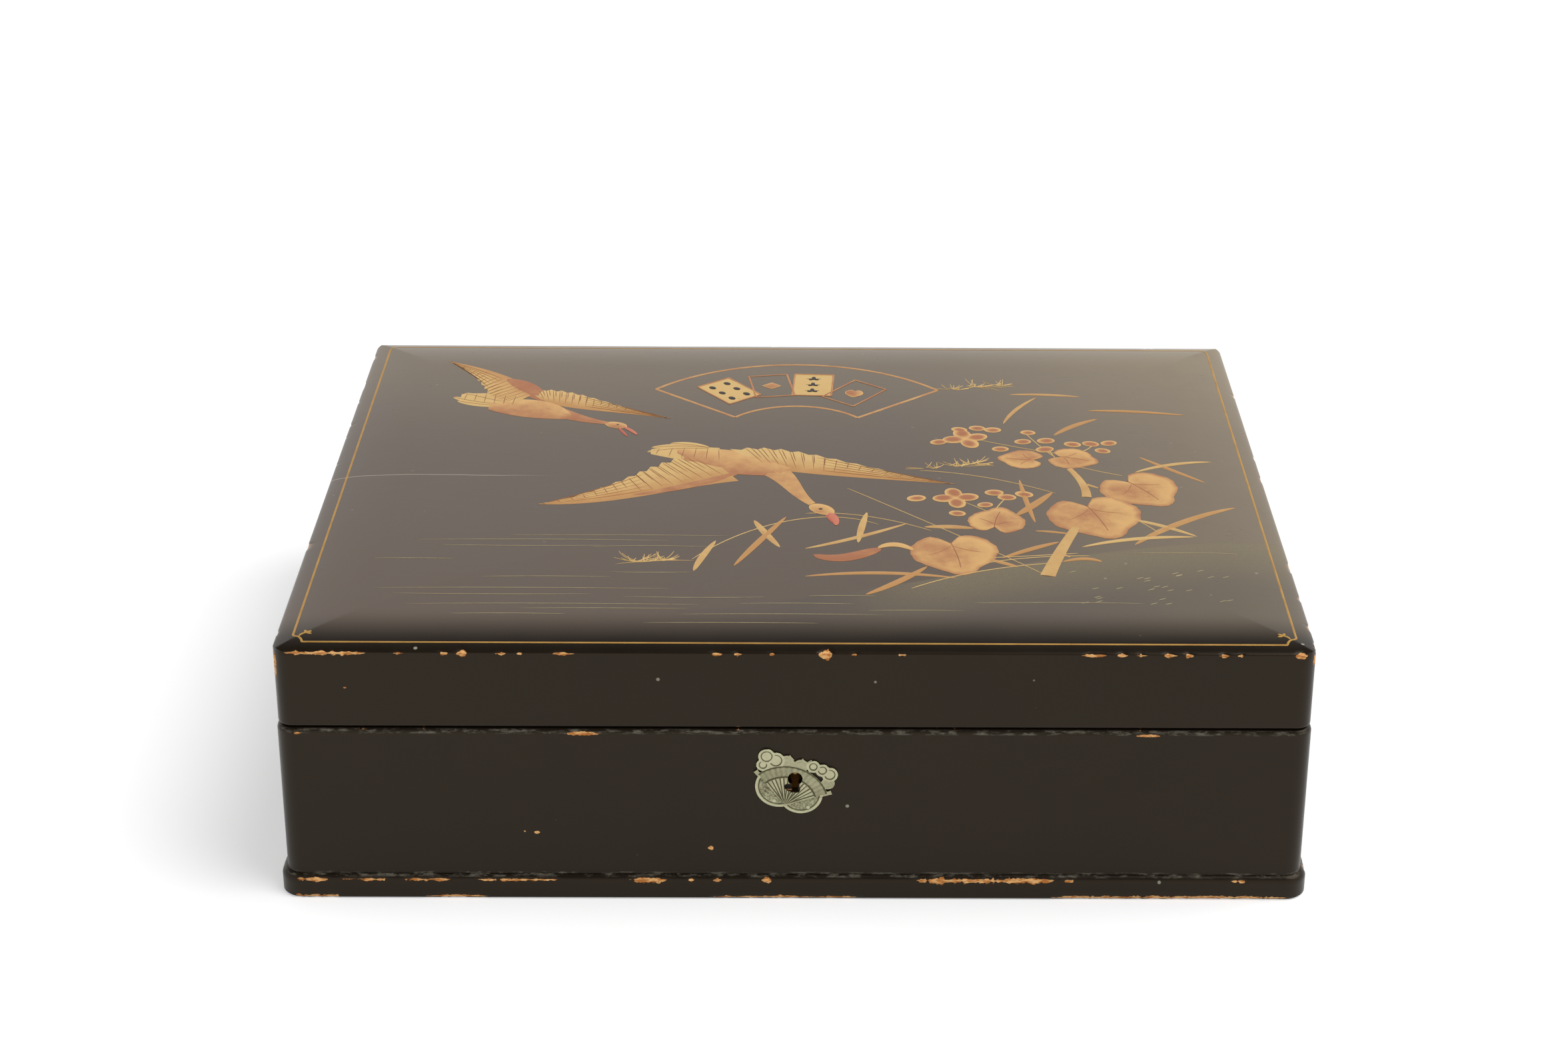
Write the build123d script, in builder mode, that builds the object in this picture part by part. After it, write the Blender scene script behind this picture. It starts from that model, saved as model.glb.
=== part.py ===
"""A lacquered games case, about 355 x 275 x 98 mm, closed as it stands on a table.

A wooden carcass on a projecting base board carries a hinged lid with a crowned top. A box lock in the front
wall holds the lid by two staples, behind a pressed metal escutcheon. Inside, halved partitions make six bays for
four lidded boxes and two stacks of shallow trays.

Frame: +Z up, the front faces -Y, and the origin is the middle of the underside. Lengths are in millimetres.
"""

from build123d import *

import os
from math import radians, tan

os.makedirs("parts", exist_ok=True)

# ---- carcass ------------------------------------------------------------------------------------
body_width = 351.0  # across the outer faces of the side walls
body_depth = 271.0
body_height = 65.7  # from the table to the rim
body_wall = 9.0
corner_radius = 6.0  # upright corners, on plan
corner_lap = 6.5  # wood that a front or back wall keeps outside the side wall's end
shoulder_radius = 2.2  # rounding of the rim's outer edge
base_thickness = 8.8
base_overhang = 2.0
base_edge_radius = 2.6  # rounding of the base board's upper edge
base_chamfer = 0.5  # around its underside

# ---- lid ----------------------------------------------------------------------------------------
lid_inset = 0.5  # the lid's walls stand back from the body's
lid_gap = 0.3  # daylight between the rim and the closed lid
lid_wall_height = 24.0
lid_edge_height = 4.3  # edge of the top board, from its glue line to the arris
lid_edge_radius = 1.0  # rounding of the lid's lower outer edge
crown_rise = 3.2
crown_reach = 27.0  # width of the curved border of the top
board_tongue = 2.0  # depth that the top board drops inside the lid's walls
bevel_angle = 48.5  # of each back arris: the two nearly meet when the lid stands open

# ---- linings and pegs ---------------------------------------------------------------------------
lining_thickness = 0.5
peg_side = 2.0  # the pegs are square nails, whittled from bamboo
peg_length = 14.0
peg_cover = 0.6  # filler over a peg's head
peg_clearance = 0.03

# ---- hinges -------------------------------------------------------------------------------------
hinge_from_end = 60.0  # middle of a hinge to the end of the back wall
hinge_length = 32.0
hinge_setback = 1.6  # pin axis inside the lid's back face
knuckle_radius = 2.0
knuckle_gap = 0.15
leaf_thickness = 1.0
pin_radius = 0.85
pin_clearance = 0.05
barrel_clearance = 0.3  # around a barrel in its groove

# ---- screws -------------------------------------------------------------------------------------
screw_head = 1.6
screw_shank = 0.8
screw_length = 6.0
screw_slot = 0.4
screw_clearance = 0.05
fastener_sides = 8

# ---- lock ---------------------------------------------------------------------------------------
lock_margin = 5.4  # lock plate beyond each side of the cap, for its screws
lock_drop = 29.2  # height of the inner plate under the rim
lock_plate_thickness = 1.2
cap_drop = 24.2  # height of the cap that covers the works
cap_wall = 0.8
key_drop = 18.8  # keyhole centre under the rim
keyhole_radius = 2.5
keyhole_neck = 2.9  # width of the keyhole under its round
keyhole_foot = 5.2  # centre of the round to the lower end
keyhole_flare = 2.8  # half width of the worn oval foot in the escutcheon
keyhole_foot_height = 3.3
keyhole_lean = 1.0  # the foot was worn more to the left
keyhole_tilt = -16.0
bit_slot = 2.2  # slot for the key's bit in the wood
post_radius = 0.8
post_length = 3.8
bolt_travel = 5.0
bolt_thickness = 1.6
bolt_bar = 5.0  # height of the bolt's lower bar
bolt_rise = 2.4  # lower edge of the bolt above the key post's centre
bolt_play = 0.3
bolt_post = 2.0  # width of the uprights that carry the tongues
tongue_height = 2.2
talon = 3.0  # width of the notch that the key turns in
talon_depth = 1.4
guide_radius = 0.9
guide_play = 0.1
staple_spacing = 18.0
staple_thickness = 2.0
staple_loop = 0.8  # metal around a staple's opening
staple_play = 0.4
spring_thickness = 0.4

# ---- escutcheon -----------------------------------------------------------------------------------
scutcheon_width = 29.0
scutcheon_sheet = 0.5
scutcheon_relief = 0.2  # each step of the pressed pattern
scutcheon_rim = 0.9
fan_stick_count = 8
nail_head = 0.7
nail_shank = 0.4
nail_length = 2.2

# ---- partitions -----------------------------------------------------------------------------------
divider_thickness = 4.0
divider_height = 40.0
divider_rounding = 1.0
centre_bay = 88.0  # clear width of the middle bays
lap_clearance = 0.1
bay_clearance = 0.8

# ---- lidded boxes ---------------------------------------------------------------------------------
box_wall = 4.2
box_floor = 3.0
box_shoulder = 33.0  # height at which the box's lid rests
box_lip_height = 10.0
box_lip = 1.9  # thickness of the lip inside the lid
box_lid_height = 16.0
box_lid_top = 3.0
box_clearance = 0.25  # lip to lid
box_corner = 5.0
box_bevel = 1.0  # around the top of a box's lid

# ---- trays ----------------------------------------------------------------------------------------
tray_count = 5
tray_height = 9.0
tray_wall = 2.2
tray_floor = 2.0
tray_corner = 9.0  # leg of a tray's cut corner

# ---- sizes that follow ------------------------------------------------------------------------------
lid_width = body_width - 2 * lid_inset
lid_depth = body_depth - 2 * lid_inset
lid_wall = body_wall - lid_inset  # so that the inner faces line up
lid_lap = corner_lap - lid_inset
lid_bottom = body_height + lid_gap
board_bottom = lid_bottom + lid_wall_height
lid_arris = board_bottom + lid_edge_height
crown_top = lid_arris + crown_rise
inner_width = body_width - 2 * body_wall
inner_depth = body_depth - 2 * body_wall
back_inner = inner_depth / 2
front_inner = -inner_depth / 2
front_face = -body_depth / 2
floor_top = base_thickness + lining_thickness
ceiling = board_bottom - board_tongue - lining_thickness
axis_y = lid_depth / 2 - hinge_setback
axis_z = body_height + lid_gap / 2
key_z = body_height - key_drop

FRONT, BACK = -1, 1
LEFT, RIGHT = -1, 1


def save(part, name):
    """Labels one finished piece and writes it."""
    part.label = name
    export_step(part, f"parts/{name}.step")


def placed(shape, places):
    """Copies of a shape, one at each location."""
    return [shape.moved(place) for place in places]


def save_group(shape, places, name):
    """Writes copies of one small piece as a group of separate solids."""
    with BuildPart() as pieces:
        with Locations(*places):
            add(shape)
    save(pieces.part, name)


def block(low, high):
    """A box between two opposite corners."""
    with BuildPart() as made:
        with Locations(low):
            Box(*[b - a for a, b in zip(low, high)], align=Align.MIN)
    return made.part


# ---- pegs and screws ----------------------------------------------------------------------------------
def peg(side, length):
    """A square bamboo nail along -Z from the origin."""
    with BuildPart() as made:
        Box(side, side, length, align=(Align.CENTER, Align.CENTER, Align.MAX))
    return made.part


def fastener(head, shank, length):
    """A countersunk head and a shank along -Z, with the flat of the head at the origin and a few flat sides."""
    neck = Plane.XY.offset(shank - head)
    with BuildPart() as made:
        with BuildSketch(Plane.XY):
            RegularPolygon(head, fastener_sides)
        with BuildSketch(neck):
            RegularPolygon(shank, fastener_sides)
        loft(ruled=True)
        with BuildSketch(neck):
            RegularPolygon(shank, fastener_sides)
        extrude(amount=head - shank - length)
    return made.part


def spread(bottom, top, count):
    """Evenly spaced places between two ends."""
    return [bottom + (top - bottom) * (n + 0.5) / count for n in range(count)]


def corner_pegs(width, depth, wall, levels):
    """Locations of the pegs that pin the front and back walls to the ends of the side walls."""
    return [
        Location((x, side * (depth / 2 - peg_cover), z), (-90 * side, 0, 0))
        for side in (FRONT, BACK)
        for x in (-(width - wall) / 2, (width - wall) / 2)
        for z in levels
    ]


one_peg = peg(peg_side, peg_length)
peg_hole = peg(peg_side + 2 * peg_clearance, peg_length + peg_clearance)
screw_hole = fastener(screw_head + screw_clearance, screw_shank + screw_clearance, screw_length)
screw_blank = fastener(screw_head, screw_shank, screw_length)
with BuildPart() as screw:
    add(screw_blank)
    Box(2.5 * screw_head, screw_slot, 2 * screw_slot, mode=Mode.SUBTRACT)

body_peg_places = corner_pegs(body_width, body_depth, body_wall, spread(base_thickness, body_height, 3))
lid_peg_places = corner_pegs(lid_width, lid_depth, lid_wall, spread(lid_bottom, board_bottom, 2))
base_peg_spots = [
    (x, side * (body_depth - body_wall) / 2)
    for side in (FRONT, BACK)
    for x in spread(-inner_width / 2, inner_width / 2, 5)
] + [
    (side * (body_width - body_wall) / 2, y)
    for side in (LEFT, RIGHT)
    for y in spread(-inner_depth / 2, inner_depth / 2, 3)
]
base_peg_places = [Location((x, y, peg_cover), (180, 0, 0)) for x, y in base_peg_spots]
save_group(one_peg, body_peg_places, "body_corner_pegs")
save_group(one_peg, lid_peg_places, "lid_corner_pegs")
save_group(one_peg, base_peg_places, "base_pegs")

# ---- hinges ---------------------------------------------------------------------------------------------
hinge_places = [side * (body_width / 2 - hinge_from_end) for side in (LEFT, RIGHT)]
leaf_edge = axis_y - knuckle_radius - barrel_clearance
leaf_middle = (back_inner + leaf_edge) / 2
leaf_screw_pitch = hinge_length / 2 - 2.5 * screw_head
leaf_screw_x = [x + step * leaf_screw_pitch for x in hinge_places for step in (-1, 0, 1)]
body_leaf_screws = [Location((x, leaf_middle, body_height)) for x in leaf_screw_x]
lid_leaf_screws = [Location((x, leaf_middle, lid_bottom), (180, 0, 0)) for x in leaf_screw_x]
knuckle_pitch = hinge_length / 3


def along_axis(radius, length, middle):
    """A cylinder on the hinge's axis."""
    with BuildPart() as made:
        with Locations((middle, axis_y, axis_z)):
            Cylinder(radius, length, rotation=(0, 90, 0))
    return made.part


def hinge_leaf(middle, bottom, knuckles, holes):
    """One leaf with its share of the barrel, whose three knuckles are numbered -1, 0 and 1 from the left."""
    half, top = hinge_length / 2, bottom + leaf_thickness
    bore = along_axis(pin_radius + pin_clearance, hinge_length + 1, middle)
    sheet = block((middle - half, back_inner, bottom), (middle + half, leaf_edge, top))
    with BuildPart() as leaf:
        add(sheet)
        for n in knuckles:
            centre = middle + n * knuckle_pitch
            with Locations((centre, axis_y, axis_z)):
                Cylinder(knuckle_radius, knuckle_pitch - knuckle_gap, rotation=(0, 90, 0))
            with Locations((centre, axis_y - knuckle_radius, (bottom + top) / 2)):
                Box(knuckle_pitch - knuckle_gap, 2 * knuckle_radius, leaf_thickness)
        add(bore, mode=Mode.SUBTRACT)
        add(holes, mode=Mode.SUBTRACT)
    return leaf.part


def hinge_seats(bottom, top):
    """What the two hinges take out of one back wall: grooves for the barrels and beds for the leaves."""
    grooves = [
        along_axis(knuckle_radius + barrel_clearance, hinge_length + 2 * barrel_clearance, x)
        for x in hinge_places
    ]
    half = hinge_length / 2
    beds = [block((x - half, back_inner, bottom), (x + half, axis_y, top)) for x in hinge_places]
    return grooves + beds


body_leaf_holes = placed(screw_hole, body_leaf_screws)
lid_leaf_holes = placed(screw_hole, lid_leaf_screws)
for side, middle in zip(("left", "right"), hinge_places):
    body_leaf = hinge_leaf(middle, body_height - leaf_thickness, (-1, 1), body_leaf_holes)
    lid_leaf = hinge_leaf(middle, lid_bottom, (0,), lid_leaf_holes)
    save(body_leaf, f"hinge_{side}_body_leaf")
    save(lid_leaf, f"hinge_{side}_lid_leaf")
    save(along_axis(pin_radius, hinge_length, middle), f"hinge_{side}_pin")
save_group(screw.part, body_leaf_screws, "hinge_body_screws")
save_group(screw.part, lid_leaf_screws, "hinge_lid_screws")

# ---- lock: sizes that follow --------------------------------------------------------------------------------
staple_width = bolt_thickness + 2 * bolt_play + 2 * staple_loop
cap_depth = cap_wall + staple_width + 2 * staple_play
bolt_y = front_inner - lock_plate_thickness - staple_play - staple_width / 2
plate_reach = 2 * (front_inner - bolt_y)  # width of the top plate, centred over the staples
cap_back = front_inner - lock_plate_thickness
cap_front = cap_back - cap_depth
cap_top = body_height - lock_plate_thickness
cap_width = 2 * (staple_spacing / 2 + staple_thickness / 2 + bolt_travel + bolt_post + 2 * staple_play + cap_wall)
bar_bottom = key_z + bolt_rise
bar_top = bar_bottom + bolt_bar
staple_bottom = bar_top + staple_play
tongue_bottom = staple_bottom + staple_loop + bolt_play
tongue_top = tongue_bottom + tongue_height
bolt_end = cap_width / 2 - cap_wall - staple_play - bolt_travel
guide_x = bolt_end - 2 * bolt_post
staple_x = [-staple_spacing / 2, staple_spacing / 2]
lock_width = cap_width + 2 * lock_margin
lock_screw_x = cap_width / 2 + lock_margin / 2
lock_face = Plane(origin=(0, bolt_y, 0), x_dir=(1, 0, 0), z_dir=(0, -1, 0))

top_plate_screws = [Location((x, bolt_y, body_height)) for x in (-lock_screw_x, lock_screw_x)]
inner_plate_screws = [
    Location((x, front_inner, body_height - lock_drop + 2 * screw_head), (-90, 0, 0))
    for x in (-lock_screw_x, lock_screw_x)
]
link_screws = [Location((x, bolt_y, lid_bottom), (180, 0, 0)) for x in (-lock_screw_x, lock_screw_x)]
top_plate_holes = placed(screw_hole, top_plate_screws)
inner_plate_holes = placed(screw_hole, inner_plate_screws)
link_holes = placed(screw_hole, link_screws)

lock_half, plate_front = lock_width / 2, front_inner - plate_reach
inner_plate = block((-lock_half, cap_back, body_height - lock_drop), (lock_half, front_inner, body_height))
top_plate = block((-lock_half, plate_front, cap_top), (lock_half, front_inner, body_height))
link_sheet = block(
    (-lock_half, plate_front, lid_bottom), (lock_half, front_inner, lid_bottom + lock_plate_thickness)
)
cap_block = block((-cap_width / 2, cap_front, cap_top - cap_drop), (cap_width / 2, cap_back, cap_top))
slot_x, slot_y = staple_thickness / 2 + staple_play, staple_width / 2 + staple_play
staple_slots = [
    block((x - slot_x, bolt_y - slot_y, cap_top - 2 * cap_wall), (x + slot_x, bolt_y + slot_y, body_height))
    for x in staple_x
]


def keyway(slot, length, start):
    """Round and straight slot of a keyhole, cut inwards along +Y over a length."""
    with BuildPart() as cut:
        with BuildSketch(Plane(origin=(0, start, key_z), x_dir=(1, 0, 0), z_dir=(0, -1, 0))):
            Circle(keyhole_radius)
            with Locations((0, -keyhole_foot / 2)):
                Rectangle(slot, keyhole_foot)
        extrude(amount=-length)
    return cut.part


wall_keyway = keyway(bit_slot, body_wall, front_face)
cap_keyway = keyway(keyhole_neck, cap_wall, cap_front)

# ---- lock: pieces -----------------------------------------------------------------------------------------
with BuildPart() as lock_plate:
    add([inner_plate, top_plate])
    add(staple_slots + top_plate_holes + inner_plate_holes, mode=Mode.SUBTRACT)
save(lock_plate.part, "lock_plate")

cap_hollow = block(
    (cap_wall - cap_width / 2, cap_front + cap_wall, cap_top - cap_drop + cap_wall),
    (cap_width / 2 - cap_wall, cap_back, cap_top - cap_wall),
)
with BuildPart() as lock_cap:
    add(cap_block)
    add([cap_hollow, cap_keyway] + staple_slots, mode=Mode.SUBTRACT)
save(lock_cap.part, "lock_cap")

with BuildPart() as lock_bolt:
    with BuildSketch(lock_face):
        tips = [x - staple_thickness / 2 - staple_play for x in staple_x]
        bar_left = tips[0] - bolt_travel - bolt_post
        with Locations(((bar_left + bolt_end) / 2, bar_bottom + bolt_bar / 2)):
            Rectangle(bolt_end - bar_left, bolt_bar)
        for tip in tips:
            with Locations((tip - bolt_travel - bolt_post / 2, (bar_top + tongue_top) / 2)):
                Rectangle(bolt_post, tongue_top - bar_top)
            with Locations((tip - (bolt_travel + bolt_post) / 2, tongue_top - tongue_height / 2)):
                Rectangle(bolt_travel + bolt_post, tongue_height)
        guide_slot = 2 * (guide_radius + guide_play)
        with Locations((guide_x - bolt_travel / 2, bar_bottom + bolt_bar / 2)):
            SlotOverall(guide_slot + bolt_travel, guide_slot, mode=Mode.SUBTRACT)
        with Locations((0, bar_bottom + talon_depth / 2)):
            Rectangle(talon, talon_depth, mode=Mode.SUBTRACT)
    extrude(amount=bolt_thickness / 2, both=True)
save(lock_bolt.part, "lock_bolt")

with BuildPart() as lock_pins:
    with BuildSketch(Plane(origin=(0, cap_back, 0), x_dir=(1, 0, 0), z_dir=(0, -1, 0))):
        with Locations((0, key_z)):
            Circle(post_radius)
    extrude(amount=post_length)
    with BuildSketch(Plane(origin=(0, cap_back, 0), x_dir=(1, 0, 0), z_dir=(0, -1, 0))):
        with Locations((guide_x, bar_bottom + bolt_bar / 2)):
            Circle(guide_radius)
    extrude(amount=cap_depth - cap_wall)
save(lock_pins.part, "lock_pins")

with BuildPart() as lock_spring:
    with BuildSketch(lock_face):
        with BuildLine():
            root_x = cap_wall - cap_width / 2
            low = bar_bottom - guide_play - 2 * spring_thickness
            crest = Vector((root_x - talon) / 2, bar_bottom - guide_play)
            upper = ThreePointArc((root_x, low), crest, (-talon, low))
            lower = ThreePointArc(
                (root_x, low - spring_thickness),
                crest - Vector(0, spring_thickness),
                (-talon, low - spring_thickness),
            )
            Line(upper @ 0, lower @ 0)
            Line(upper @ 1, lower @ 1)
        make_face()
    extrude(amount=bolt_thickness / 2, both=True)
save(lock_spring.part, "lock_spring")

save_group(screw.part, top_plate_screws + inner_plate_screws, "lock_screws")
save_group(screw.part, link_screws, "link_screws")

staples = [
    block(
        (x - staple_thickness / 2, bolt_y - staple_width / 2, staple_bottom),
        (x + staple_thickness / 2, bolt_y + staple_width / 2, lid_bottom + lock_plate_thickness / 2),
    )
    for x in staple_x
]
eye_half = staple_width / 2 - staple_loop
staple_eyes = [
    block(
        (x - staple_thickness, bolt_y - eye_half, tongue_bottom - bolt_play),
        (x + staple_thickness, bolt_y + eye_half, tongue_top + bolt_play),
    )
    for x in staple_x
]
with BuildPart() as link_plate:
    add([link_sheet] + staples)
    add(staple_eyes + link_holes, mode=Mode.SUBTRACT)
save(link_plate.part, "link_plate")

# ---- escutcheon ---------------------------------------------------------------------------------------------
# A folding fan over two round medallions, with scalloped clouds behind its upper corners. It was nailed on askew.
unit = scutcheon_width / 30  # the outline was drawn 30 units wide
scutcheon_plane = Plane(origin=(0, front_face, key_z), x_dir=(1, 0, 0), z_dir=(0, -1, 0))
medallions = [(-5.7, -3.0, 8.4), (2.0, -6.2, 7.8)]
clouds = [
    (-10.0, 9.0, 3.0),
    (-11.3, 5.6, 2.4),
    (-6.8, 7.4, 3.2),
    (-2.9, 6.8, 2.6),
    (2.0, 5.2, 2.6),
    (6.4, 4.9, 2.4),
    (9.6, 3.4, 2.5),
    (12.2, 1.7, 2.9),
    (11.6, -1.8, 2.4),
]
spikes = [(-1.6, 8.2, 12), (2.4, 6.9, -14), (5.0, 6.4, -30)]
fan_pivot = (-3.6 * unit, -10.4 * unit)
fan_axis = 72.0  # degrees from +X
fan_spread = 110.0
fan_radius = 15.6 * unit
guard_length = 17.2 * unit
guard_width = 1.7 * unit
rib_reach = 0.72  # share of the leaf's radius that the sticks show below the folds
rib_taper = 0.7  # width of a stick to a guard's


def discs(circles, grow=0.0):
    """Sketch of overlapping discs."""
    with BuildSketch() as made:
        for x, y, radius in circles:
            with Locations((x * unit, y * unit)):
                Circle(radius * unit + grow)
    return made.sketch


def sticks(count, length, width):
    """Sketch of tapering sticks that spread from the fan's pivot."""
    step = fan_spread / (count - 1)
    turns = [fan_axis - fan_spread / 2 + n * step for n in range(count)]
    with BuildSketch() as made:
        with Locations(*[Location((*fan_pivot, 0), (0, 0, turn)) for turn in turns]):
            Polygon((0, -width / 6), (length, -width / 2), (length, width / 2), (0, width / 6), align=None)
    return made.sketch


def fan_leaf(radius):
    """Sketch of the fan's opened leaf: a sector about its pivot."""
    with BuildSketch() as made:
        with BuildLine():
            arc = CenterArc(fan_pivot, radius, fan_axis - fan_spread / 2, fan_spread)
            Line(fan_pivot, arc @ 0)
            Line(arc @ 1, fan_pivot)
        make_face()
    return made.sketch


with BuildSketch() as spike_rays:
    for x, y, turn in spikes:
        with Locations(Location((x * unit, y * unit, 0), (0, 0, turn))):
            Triangle(a=2.4 * unit, b=2.6 * unit, c=2.6 * unit)
leaf = fan_leaf(fan_radius)
guards = sticks(2, guard_length, guard_width)
ribs = sticks(fan_stick_count, fan_radius * rib_reach, guard_width * rib_taper)
medallion_ground = discs(medallions)
medallion_field = discs(medallions, -scutcheon_rim)
cloud_ground = discs(clouds)
cloud_field = discs(clouds, -scutcheon_rim)

nail = fastener(nail_head, nail_shank, nail_length)
nail_hole = fastener(nail_head + screw_clearance, nail_shank + screw_clearance, nail_length)
nail_spots = [(-10.0, 9.0), (12.2, 1.7), (-7.4, -9.0), (4.6, -11.6)]
nail_places = [
    Location((x * unit, front_face - scutcheon_sheet, key_z + y * unit), (90, 0, 0)) for x, y in nail_spots
]
nail_holes = placed(nail_hole, nail_places)

with BuildSketch() as key_opening:
    Circle(keyhole_radius)
    with Locations((0, -keyhole_foot / 2)):
        Rectangle(keyhole_neck, keyhole_foot)
    with Locations((-keyhole_lean, -keyhole_foot + keyhole_foot_height / 2)):
        Ellipse(keyhole_flare, keyhole_foot_height / 2, rotation=keyhole_tilt)

with BuildPart() as escutcheon:
    with BuildSketch(scutcheon_plane):
        add([medallion_ground, cloud_ground, leaf, guards, spike_rays.sketch])
    extrude(amount=scutcheon_sheet)
    with BuildSketch(scutcheon_plane.offset(scutcheon_sheet)):
        add(medallion_ground)
        add(medallion_field, mode=Mode.SUBTRACT)
    extrude(amount=scutcheon_relief)
    with BuildSketch(scutcheon_plane.offset(scutcheon_sheet)):
        add(cloud_ground)
        add(cloud_field, mode=Mode.SUBTRACT)
    extrude(amount=scutcheon_relief)
    with BuildSketch(scutcheon_plane.offset(scutcheon_sheet)):
        add(leaf)
    extrude(amount=scutcheon_relief)
    with BuildSketch(scutcheon_plane.offset(scutcheon_sheet)):
        add([guards, ribs])
    extrude(amount=2 * scutcheon_relief)
    with BuildSketch(scutcheon_plane):
        add(key_opening.sketch)
    extrude(amount=scutcheon_sheet + 2 * scutcheon_relief, mode=Mode.SUBTRACT)
    add(nail_holes, mode=Mode.SUBTRACT)
save(escutcheon.part, "escutcheon")
save_group(nail, nail_places, "escutcheon_nails")


# ---- walls ----------------------------------------------------------------------------------------------------
def ring(width, depth, wall, radius, bottom, height):
    """The four walls of a box as one blank, before they are sawn apart."""
    with BuildPart() as blank:
        with BuildSketch(Plane.XY.offset(bottom)):
            RectangleRounded(width, depth, radius)
            Rectangle(width - 2 * wall, depth - 2 * wall, mode=Mode.SUBTRACT)
        extrude(amount=height)
    return blank


def long_wall_plan(width, depth, wall, lap, side):
    """Plan of a front or back wall: full width, with a rebate at each end for the side wall."""
    rebate = wall - lap
    with BuildSketch() as plan:
        with Locations((0, side * (depth - wall) / 2)):
            Rectangle(width, wall)
        ends = [((width - wall) / 2 * end, side * (depth / 2 - lap - rebate / 2)) for end in (LEFT, RIGHT)]
        with Locations(*ends):
            Rectangle(wall, rebate, mode=Mode.SUBTRACT)
    return plan.sketch


def side_wall_plan(width, depth, wall, lap, side):
    """Plan of a side wall, which runs into the rebates of the front and back walls."""
    with BuildSketch() as plan:
        with Locations((side * (width - wall) / 2, 0)):
            Rectangle(wall, depth - 2 * lap)
    return plan.sketch


def back_bevel(face_y, rim, rise):
    """Wedge that is planed off a back arris. It falls away from the hinge's axis: rise is 1 up or -1 down."""
    run = face_y - axis_y
    drop = rise * run * tan(radians(bevel_angle))
    with BuildPart() as wedge:
        with BuildSketch(Plane.YZ):
            with BuildLine():
                Polyline(
                    (axis_y, rim),
                    (face_y, rim + drop),
                    (face_y + run, rim + drop),
                    (face_y + run, rim - rise * run),
                    (axis_y, rim - rise * run),
                    close=True,
                )
            make_face()
        extrude(amount=body_width, both=True)
    return wedge.part


def save_walls(blank, height, plans, cuts):
    """Saws a blank into four walls, makes the cuts in each and writes them."""
    for name, plan in plans.items():
        with BuildPart() as wall:
            add(blank)
            with BuildSketch(Plane.XY):
                add(plan)
            extrude(amount=height, mode=Mode.INTERSECT)
            add(cuts[name], mode=Mode.SUBTRACT)
        save(wall.part, name)


def wall_plans(prefix, width, depth, wall, lap):
    """Plans of the four walls of a box, by the name of the piece."""
    return {
        f"{prefix}_front_wall": long_wall_plan(width, depth, wall, lap, FRONT),
        f"{prefix}_back_wall": long_wall_plan(width, depth, wall, lap, BACK),
        f"{prefix}_left_wall": side_wall_plan(width, depth, wall, lap, LEFT),
        f"{prefix}_right_wall": side_wall_plan(width, depth, wall, lap, RIGHT),
    }


body_bevel = back_bevel(body_depth / 2, body_height, -1)
body_ring = ring(body_width, body_depth, body_wall, corner_radius, base_thickness, body_height - base_thickness)
with BuildPart() as body_blank:
    add(body_ring.part)
    fillet(body_blank.faces().sort_by(Axis.Z)[-1].outer_wire().edges(), shoulder_radius)
    add(body_bevel, mode=Mode.SUBTRACT)

pinned = placed(peg_hole, body_peg_places) + placed(peg_hole, base_peg_places)
lock_cuts = [inner_plate, top_plate, cap_block, wall_keyway] + top_plate_holes + inner_plate_holes
body_cuts = {
    "body_front_wall": pinned + lock_cuts + nail_holes,
    "body_back_wall": pinned + hinge_seats(body_height - leaf_thickness, body_height) + body_leaf_holes,
    "body_left_wall": pinned,
    "body_right_wall": pinned,
}
body_plans = wall_plans("body", body_width, body_depth, body_wall, corner_lap)
save_walls(body_blank.part, body_height, body_plans, body_cuts)

lid_bevel = back_bevel(lid_depth / 2, lid_bottom, 1)
lid_ring = ring(lid_width, lid_depth, lid_wall, corner_radius - lid_inset, lid_bottom, lid_wall_height)
with BuildPart() as lid_blank:
    add(lid_ring.part)
    fillet(lid_blank.faces().sort_by(Axis.Z)[0].outer_wire().edges(), lid_edge_radius)
    add(lid_bevel, mode=Mode.SUBTRACT)

lid_pinned = placed(peg_hole, lid_peg_places)
lid_cuts = {
    "lid_front_wall": lid_pinned + [link_sheet] + link_holes,
    "lid_back_wall": lid_pinned + hinge_seats(lid_bottom, lid_bottom + leaf_thickness) + lid_leaf_holes,
    "lid_left_wall": lid_pinned,
    "lid_right_wall": lid_pinned,
}
lid_plans = wall_plans("lid", lid_width, lid_depth, lid_wall, lid_lap)
save_walls(lid_blank.part, board_bottom, lid_plans, lid_cuts)

# ---- base board, top board and linings ---------------------------------------------------------------------------
base_peg_holes = placed(peg_hole, base_peg_places)
with BuildPart() as base_board:
    with BuildSketch():
        base_width, base_depth = body_width + 2 * base_overhang, body_depth + 2 * base_overhang
        RectangleRounded(base_width, base_depth, corner_radius + base_overhang)
    extrude(amount=base_thickness)
    fillet(base_board.faces().sort_by(Axis.Z)[-1].outer_wire().edges(), base_edge_radius)
    chamfer(base_board.faces().sort_by(Axis.Z)[0].outer_wire().edges(), base_chamfer)
    add(base_peg_holes, mode=Mode.SUBTRACT)
save(base_board.part, "base_board")


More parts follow.
